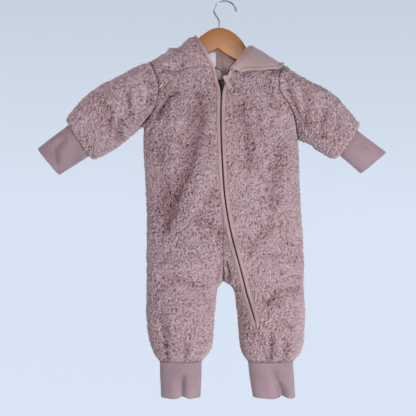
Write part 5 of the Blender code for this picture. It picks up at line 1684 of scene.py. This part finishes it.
# %% dark metal
dark_metal, tree, shader = plain_material("dark_metal", (0.070, 0.062, 0.066), 0.34, 0.9)
where = node(tree, "TexCoord").outputs["Object"]
wear = noise_at(tree, where, 0.0016, 4, 0.6)
metal_tone = ramp_node(tree, wear, [(0.35, (0.035, 0.030, 0.034)), (0.62, (0.085, 0.075, 0.08)),
                                    (0.8, (0.20, 0.18, 0.18))])
tree.links.new(metal_tone, shader.inputs["Base Color"])
tree.links.new(sums(tree, "ADD", sums(tree, "MULTIPLY", wear, 0.35), 0.18),
               shader.inputs["Roughness"])
tree.links.new(bump(tree, wear, 0.00008, 0.4), shader.inputs["Normal"])

# %% slider body
def rounded_box(name, outline, y0, y1, bevel, materials):
    """A plate with an outline in x and z, from y0 to y1, with soft edges."""
    outline = np.array(outline, float)
    centre = outline.mean(0)
    size = np.linalg.norm(outline - centre, axis=1, keepdims=True)
    rings = []
    for t, share in ((0, 1), (0.12, 0.3), (0.3, 0), (0.7, 0), (0.88, 0.3), (1, 1)):
        ring = centre + (outline - centre) * (1 - share * bevel / size)
        rings.append([(a, y0 + (y1 - y0) * t, b) for a, b in ring])
    return closed_bar(name, np.array(rings), materials)


def join(name, parts):
    """One object from several."""
    verts, faces, base = [], [], 0
    material = parts[0].data.materials[0]
    for part in parts:
        mesh = part.data
        verts += [tuple(v.co) for v in mesh.vertices]
        faces += [tuple(base + i for i in p.vertices) for p in mesh.polygons]
        base += len(mesh.vertices)
        bpy.data.objects.remove(part, do_unlink=True)
    return mesh_object(name, verts, faces, [material])


slider_z = -135.5
slider_x = float(zip_at(np.array(slider_z))[0])
slider_y = float(front_at(slider_x, slider_z))
shield = [(slider_x + 1.9 * math.sin(a) * (1.0 + 0.22 * math.cos(a)), slider_z + 4.5 * math.cos(a))
          for a in np.linspace(0, 2 * math.pi, 28, endpoint=False)]
plate = rounded_box("plate", shield, slider_y - 0.9, slider_y + 1.9, 0.5, [dark_metal])
# the bridge: height over the slider's middle, distance in front of the cloth
BRIDGE = [(-3.6, 0.6), (-3.4, 2.0), (-2.4, 3.2), (-0.6, 3.6), (1.4, 3.5), (3.0, 2.7), (3.7, 1.6),
          (3.7, 0.6)]
arch = np.array([(slider_x, slider_y - out, slider_z + rise) for rise, out in BRIDGE])
across = np.tile([1.0, 0, 0], (len(arch), 1))
up = unit(np.cross(across, unit(np.gradient(arch, axis=0))))
angles = np.linspace(0, 2 * math.pi, 12, endpoint=False)
strap = np.stack([1.15 * np.cos(angles), 0.42 * np.sin(angles)], 1)
bridge = swept("bridge", arch, across, up, np.repeat(strap[None], len(arch), 0), [dark_metal])
slider = join("zip_slider_cast", [plate, bridge])
placed(slider, "zip_slider")
print("slider size:", [round(v * 1000, 1) for v in slider.dimensions])

# %% wire link
LINK = [(-7.5, -133.1), (-7.7, -129), (-7.2, -124), (-5.0, -119.0), (-3.0, -115.8), (-1.2, -114.4),
        (0.6, -115.2), (1.5, -118), (1.8, -122.5), (1.0, -127), (-0.9, -131.0), (-2.4, -133.3),
        (-3.2, -134), (-6.7, -134)]
PIVOT_Z = -134.0         # the link turns here
pivot_y = float(front_at(slider_x, PIVOT_Z)) - 1.85


def rounded_loop(points, times):
    """Corner cutting: each pass makes a closed line rounder."""
    for _ in range(times):
        after = np.roll(points, -1, 0)
        cut = np.stack([0.75 * points + 0.25 * after, 0.25 * points + 0.75 * after], 1)
        points = cut.reshape(-1, points.shape[1])
    return points


def leaning(z):
    """y of the link's middle at a height."""
    return pivot_y - LEAN * (z - PIVOT_Z)


def closed_tube(name, path, plane, radius, materials, sides=12):
    """Wire along a closed line that lies in a plane."""
    tangent = unit(np.roll(path, -1, 0) - np.roll(path, 1, 0))
    out = unit(np.cross(tangent, plane))
    t = np.linspace(0, 2 * math.pi, sides, endpoint=False)
    rings = path[:, None] + radius * (np.cos(t)[None, :, None] * out[:, None]
                                      + np.sin(t)[None, :, None] * plane)
    n = len(path)
    r, k = np.divmod(np.arange(n * sides), sides)
    next_r, next_k = (r + 1) % n, (k + 1) % sides
    faces = np.stack([r * sides + k, r * sides + next_k, next_r * sides + next_k,
                      next_r * sides + k], 1).tolist()
    verts = rings.reshape(-1, 3)
    if volume_sign(verts - verts.mean(0), faces) < 0:
        faces = [f[::-1] for f in faces]
    return mesh_object(name, verts * MM, faces, materials)


link_path = rounded_loop(np.array([(a, leaning(b), b) for a, b in LINK]), 2)
link = closed_tube("zip_link_wire", link_path, unit(np.array([0.0, -1.0, -LEAN])), 0.62,
                   [dark_metal])
placed(link, "zip_link", body="zip_pull")
print("points along the wire:", len(link_path))

# %% pull tab
top, low = np.array([-1.1, 0, -124.6]), np.array([7.4, 0, -145.3])
top[1] = leaning(top[2]) - 0.95
low[1] = top[1] - 3.4
ts = np.concatenate([[0, 0.012, 0.03], np.linspace(0.06, 0.94, 26), [0.965, 0.985, 1]])
path = top + (low - top) * ts[:, None]
tangent = unit(np.gradient(path, axis=0))
side = unit(np.cross(tangent, np.array([0.0, -1.0, 0.0])))
widths = np.interp(ts, [0, 0.04, 0.5, 0.96, 1], [6.2, 6.9, 7.0, 7.2, 6.8])
ends = np.minimum(1, np.minimum(ts, 1 - ts) / 0.04)
profiles = []
for w, e in zip(widths, ends):
    x = np.linspace(-1, 1, 13)
    thick = 1.05 * (0.45 + 0.55 * math.sqrt(1 - (1 - e) ** 2))
    face = thick * np.clip(1 - x**6, 0, 1) ** 0.5
    groove = 0.22 * np.exp(-(((np.abs(x) - 0.72) / 0.08) ** 2)) * e
    front = np.stack([w / 2 * x, 1.1 + face - groove], 1)
    rear = np.stack([w / 2 * x[::-1][1:-1], 1.1 - face[1:-1] + groove[1:-1]], 1)
    profiles.append(np.concatenate([front, rear]))
tab = swept("zip_pull_strip", path, side, unit(np.cross(side, tangent)), np.array(profiles),
            [jersey_binding])
placed(tab, "zip_pull_tab", body="zip_pull")
print("pull tab hangs", round(float(top[2] - low[2]), 1), "mm")

# %% [markdown]
# ## The neck label
#
# A blank, pale woven label is sewn into the neck. It is a thin strip folded once, with a fine
# diagonal weave. Nothing is printed on it.

# %% label
label_cloth, tree, shader = plain_material("label_cloth", (0.70, 0.73, 0.80), 0.75)
where, (x_at, _, z_at) = places(tree)
twill = sums(tree, "SINE", sums(tree, "MULTIPLY", sums(tree, "ADD", x_at, z_at), 9000))
thread = sums(tree, "ADD", sums(tree, "MULTIPLY", twill, 0.5), noise_at(tree, where, 0.0008, 2))
tree.links.new(ramp_node(tree, thread, [(0.0, (0.60, 0.64, 0.72)), (0.8, (0.76, 0.79, 0.85))]),
               shader.inputs["Base Color"])
tree.links.new(bump(tree, thread, 0.00008, 0.5), shader.inputs["Normal"])
shader.inputs["Sheen Weight"].default_value = 0.15

LABEL_X, LABEL_HALF = -22.4, 8.0
LABEL_TOP, LABEL_END = -78.2, -100.9
rings = []
for z in np.linspace(LABEL_TOP, LABEL_END, 24):
    xs = np.linspace(LABEL_X - LABEL_HALF, LABEL_X + LABEL_HALF, 15)
    flat_z = np.minimum(z, ridge_z("right", xs) - STRAIGHT)
    ys = depth_at("right", "back", xs, z, False) * rounding("right", xs, flat_z) - HOOD - 0.8
    curl = 0.25 * np.cos((xs - LABEL_X) / LABEL_HALF * math.pi) * ramp(-z, 84, 100)
    front = [(a, q - 0.6 - u, z) for a, q, u in zip(xs, ys, curl)]
    rear = [(a, q - u * 0.5, z) for a, q, u in zip(xs[::-1], ys[::-1], curl[::-1])]
    rings.append(front + rear)
label = closed_bar("neck_label_woven", np.array(rings), [label_cloth])
placed(label, "neck_label")
print("label size, mm:", [round(v * 1000, 1) for v in label.dimensions])

# %% [markdown]
# ## The hanger
#
# The hanger is sawn from 12 mm wood in two arms, glued at the middle, sanded round and varnished
# in honey colour. One outline swept along the arms keeps the small bump and the apex below. The
# grain follows each arm, so the material stretches noise along a slanted axis and mirrors it at
# the glue line, and a thin dark line marks the joint.

# %% wood
JOINT_X = -0.0112        # the glue line, in metres
wood, tree, shader = plain_material("wood", (0.55, 0.27, 0.09), 0.38)
_, (x_at, y_at, z_at) = places(tree)
arm = sums(tree, "ABSOLUTE", sums(tree, "SUBTRACT", x_at, JOINT_X))
along = sums(tree, "SUBTRACT", sums(tree, "MULTIPLY", arm, 0.87), sums(tree, "MULTIPLY", z_at, 0.5))
over = sums(tree, "ADD", sums(tree, "MULTIPLY", arm, 0.5), sums(tree, "MULTIPLY", z_at, 0.87))
side_of = sums(tree, "GREATER_THAN", x_at, JOINT_X)
deep = sums(tree, "ADD", sums(tree, "MULTIPLY", y_at, 300), sums(tree, "MULTIPLY", side_of, 5))
grain_at = node(tree, "CombineXYZ")
grain_parts = (sums(tree, "MULTIPLY", along, 16), sums(tree, "MULTIPLY", over, 420), deep)
for k, part in enumerate(grain_parts):
    tree.links.new(part, grain_at.inputs[k])
grain = node(tree, "TexNoise", [("Vector", grain_at.outputs[0])], Scale=1.0, Detail=4.0,
             Roughness=0.55, Distortion=0.4)
pores = node(tree, "TexNoise", [("Vector", grain_at.outputs[0])], Scale=3.4, Detail=2.0)
color = ramp_node(tree, grain.outputs["Fac"],
                  [(0.28, (0.252, 0.076, 0.0075)), (0.5, (0.305, 0.100, 0.0095)),
                   (0.75, (0.336, 0.118, 0.013))])
pore_tone = ramp_node(tree, pores.outputs["Fac"], [(0.38, (0.78, 0.70, 0.62)), (0.52, (1, 1, 1))])
color = mix_color(tree, "MULTIPLY", 0.6, color, pore_tone)
side_tone = ramp_node(tree, side_of, [(0.0, (0.97, 0.96, 0.95)), (1.0, (1.0, 1.0, 1.0))])
color = mix_color(tree, "MULTIPLY", 1.0, color, side_tone)
line = sums(tree, "LESS_THAN", arm, 0.00032)
color = mix_color(tree, "MIX", sums(tree, "MULTIPLY", line, 0.6), color, (0.16, 0.06, 0.02, 1))
tree.links.new(color, shader.inputs["Base Color"])
tree.links.new(bump(tree, pores.outputs["Fac"], 0.00012, 0.35), shader.inputs["Normal"])
shader.inputs["Coat Weight"].default_value = 0.22
shader.inputs["Coat Roughness"].default_value = 0.22

# %% hanger bar
APEX_X = -11.8           # the notch under the hook
EDGE = 2.3               # radius of the wood's edges
places_x, tops, lows = np.array(HANGER, float).T
at = np.unique(np.concatenate([places_x, np.arange(-196, 173, 1.5)]))
top_line, low_line = np.interp(at, places_x, tops), np.interp(at, places_x, lows)


def softened(values, where_keep, times=4):
    """Round a drawn line a little, but keep its apex."""
    out = values.copy()
    for _ in range(times):
        step = (out[:-2] + 2 * out[1:-1] + out[2:]) / 4
        out[1:-1] = np.where(where_keep[1:-1], out[1:-1], step)
    return out


keep_low = np.abs(at - APEX_X) < 1.0     # the notch stays sharp
top_line = softened(top_line, np.zeros(len(at), bool))
low_line = softened(low_line, keep_low)
half_high = (top_line - low_line) / 2
path = np.stack([at, 0 * at, (top_line + low_line) / 2], -1)
wide = np.full(len(at), HANGER_T / 2)
wide[:3] -= (2.0, 0.9, 0.3)
wide[-3:] -= (0.3, 0.9, 2.0)


def eased(w, h, r):
    """Outline of the bar: flat faces with rounded edges."""
    r = min(r, h * 0.8, w * 0.8)
    pts = []
    corners = ((w - r, h - r, 0), (r - w, h - r, 90), (r - w, r - h, 180), (w - r, r - h, 270))
    for cx, cz, a0 in corners:
        for a in (0, 22.5, 45, 67.5, 90):
            t = math.radians(a0 + a)
            pts.append((cx + r * math.cos(t), cz + r * math.sin(t)))
    return pts


profile = np.array([eased(w, h, EDGE) for w, h in zip(wide, half_high)])
n = len(path)
bar = swept("hanger_bar_wood", path, np.tile([0.0, 1.0, 0.0], (n, 1)),
            np.tile([0.0, 0.0, 1.0], (n, 1)), profile, [wood])
placed(bar, "hanger_bar")
print("hanger is", round(float(at[-1] - at[0])), "mm wide")

# %% [markdown]
# ## The hook
#
# A single steel wire, 2.6 mm thick, turned into the wood, bent round and rounded off at its tip.

# %% steel and hook
steel, tree, shader = plain_material("steel", (0.36, 0.37, 0.38), 0.32, 1.0)
where = node(tree, "TexCoord").outputs["Object"]
dull = noise_at(tree, where, 0.004, 4, 0.6)
tree.links.new(ramp_node(tree, dull, [(0.3, (0.20, 0.205, 0.21)), (0.7, (0.42, 0.43, 0.44))]),
               shader.inputs["Base Color"])
tree.links.new(sums(tree, "ADD", sums(tree, "MULTIPLY", dull, 0.3), 0.2),
               shader.inputs["Roughness"])
tree.links.new(bump(tree, dull, 0.00005, 0.3), shader.inputs["Normal"])

stem = [(-10.2, -42.1), (-9.6, -38), (-9.2, -34), (-9.4, -31), (-10.6, -28), (-13.2, -24),
        (-15.8, -19.6)]
turns = [math.radians(a) for a in np.linspace(177, 10, 60)]
arc = [(HOOK_R * math.cos(a), -HOOK_TOP + HOOK_R * math.sin(a)) for a in turns]
stem_fine = smooth_table([(k, *p) for k, p in enumerate(stem)], np.linspace(0, len(stem) - 1, 28))
tip = [(arc[-1][0] + out, arc[-1][1] - down) for out, down in ((0.35, 1.2), (0.5, 1.8), (0.6, 2.2))]
path = np.array([(a, 0.0, b) for a, b in [tuple(p) for p in stem_fine] + arc + tip])
radius = np.full(len(path), WIRE)
radius[-5:] = (1.42, 1.5, 1.55, 1.35, 0.8)
tangent = unit(np.gradient(path, axis=0))
side = np.tile([0.0, 1.0, 0.0], (len(path), 1))
t = np.linspace(0, 2 * math.pi, 20, endpoint=False)
profile = radius[:, None, None] * np.stack([np.cos(t), np.sin(t)], -1)[None]
hook = swept("hanger_hook_wire", path, side, unit(np.cross(side, tangent)), profile, [steel])
placed(hook, "hanger_hook")
print("hook rings:", len(path))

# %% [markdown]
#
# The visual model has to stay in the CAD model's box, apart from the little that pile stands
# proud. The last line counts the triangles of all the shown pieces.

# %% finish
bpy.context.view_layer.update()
meshes = [o.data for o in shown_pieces() if o.type == "MESH"]
print("triangles:", sum(len(p.vertices) - 2 for mesh in meshes for p in mesh.polygons))
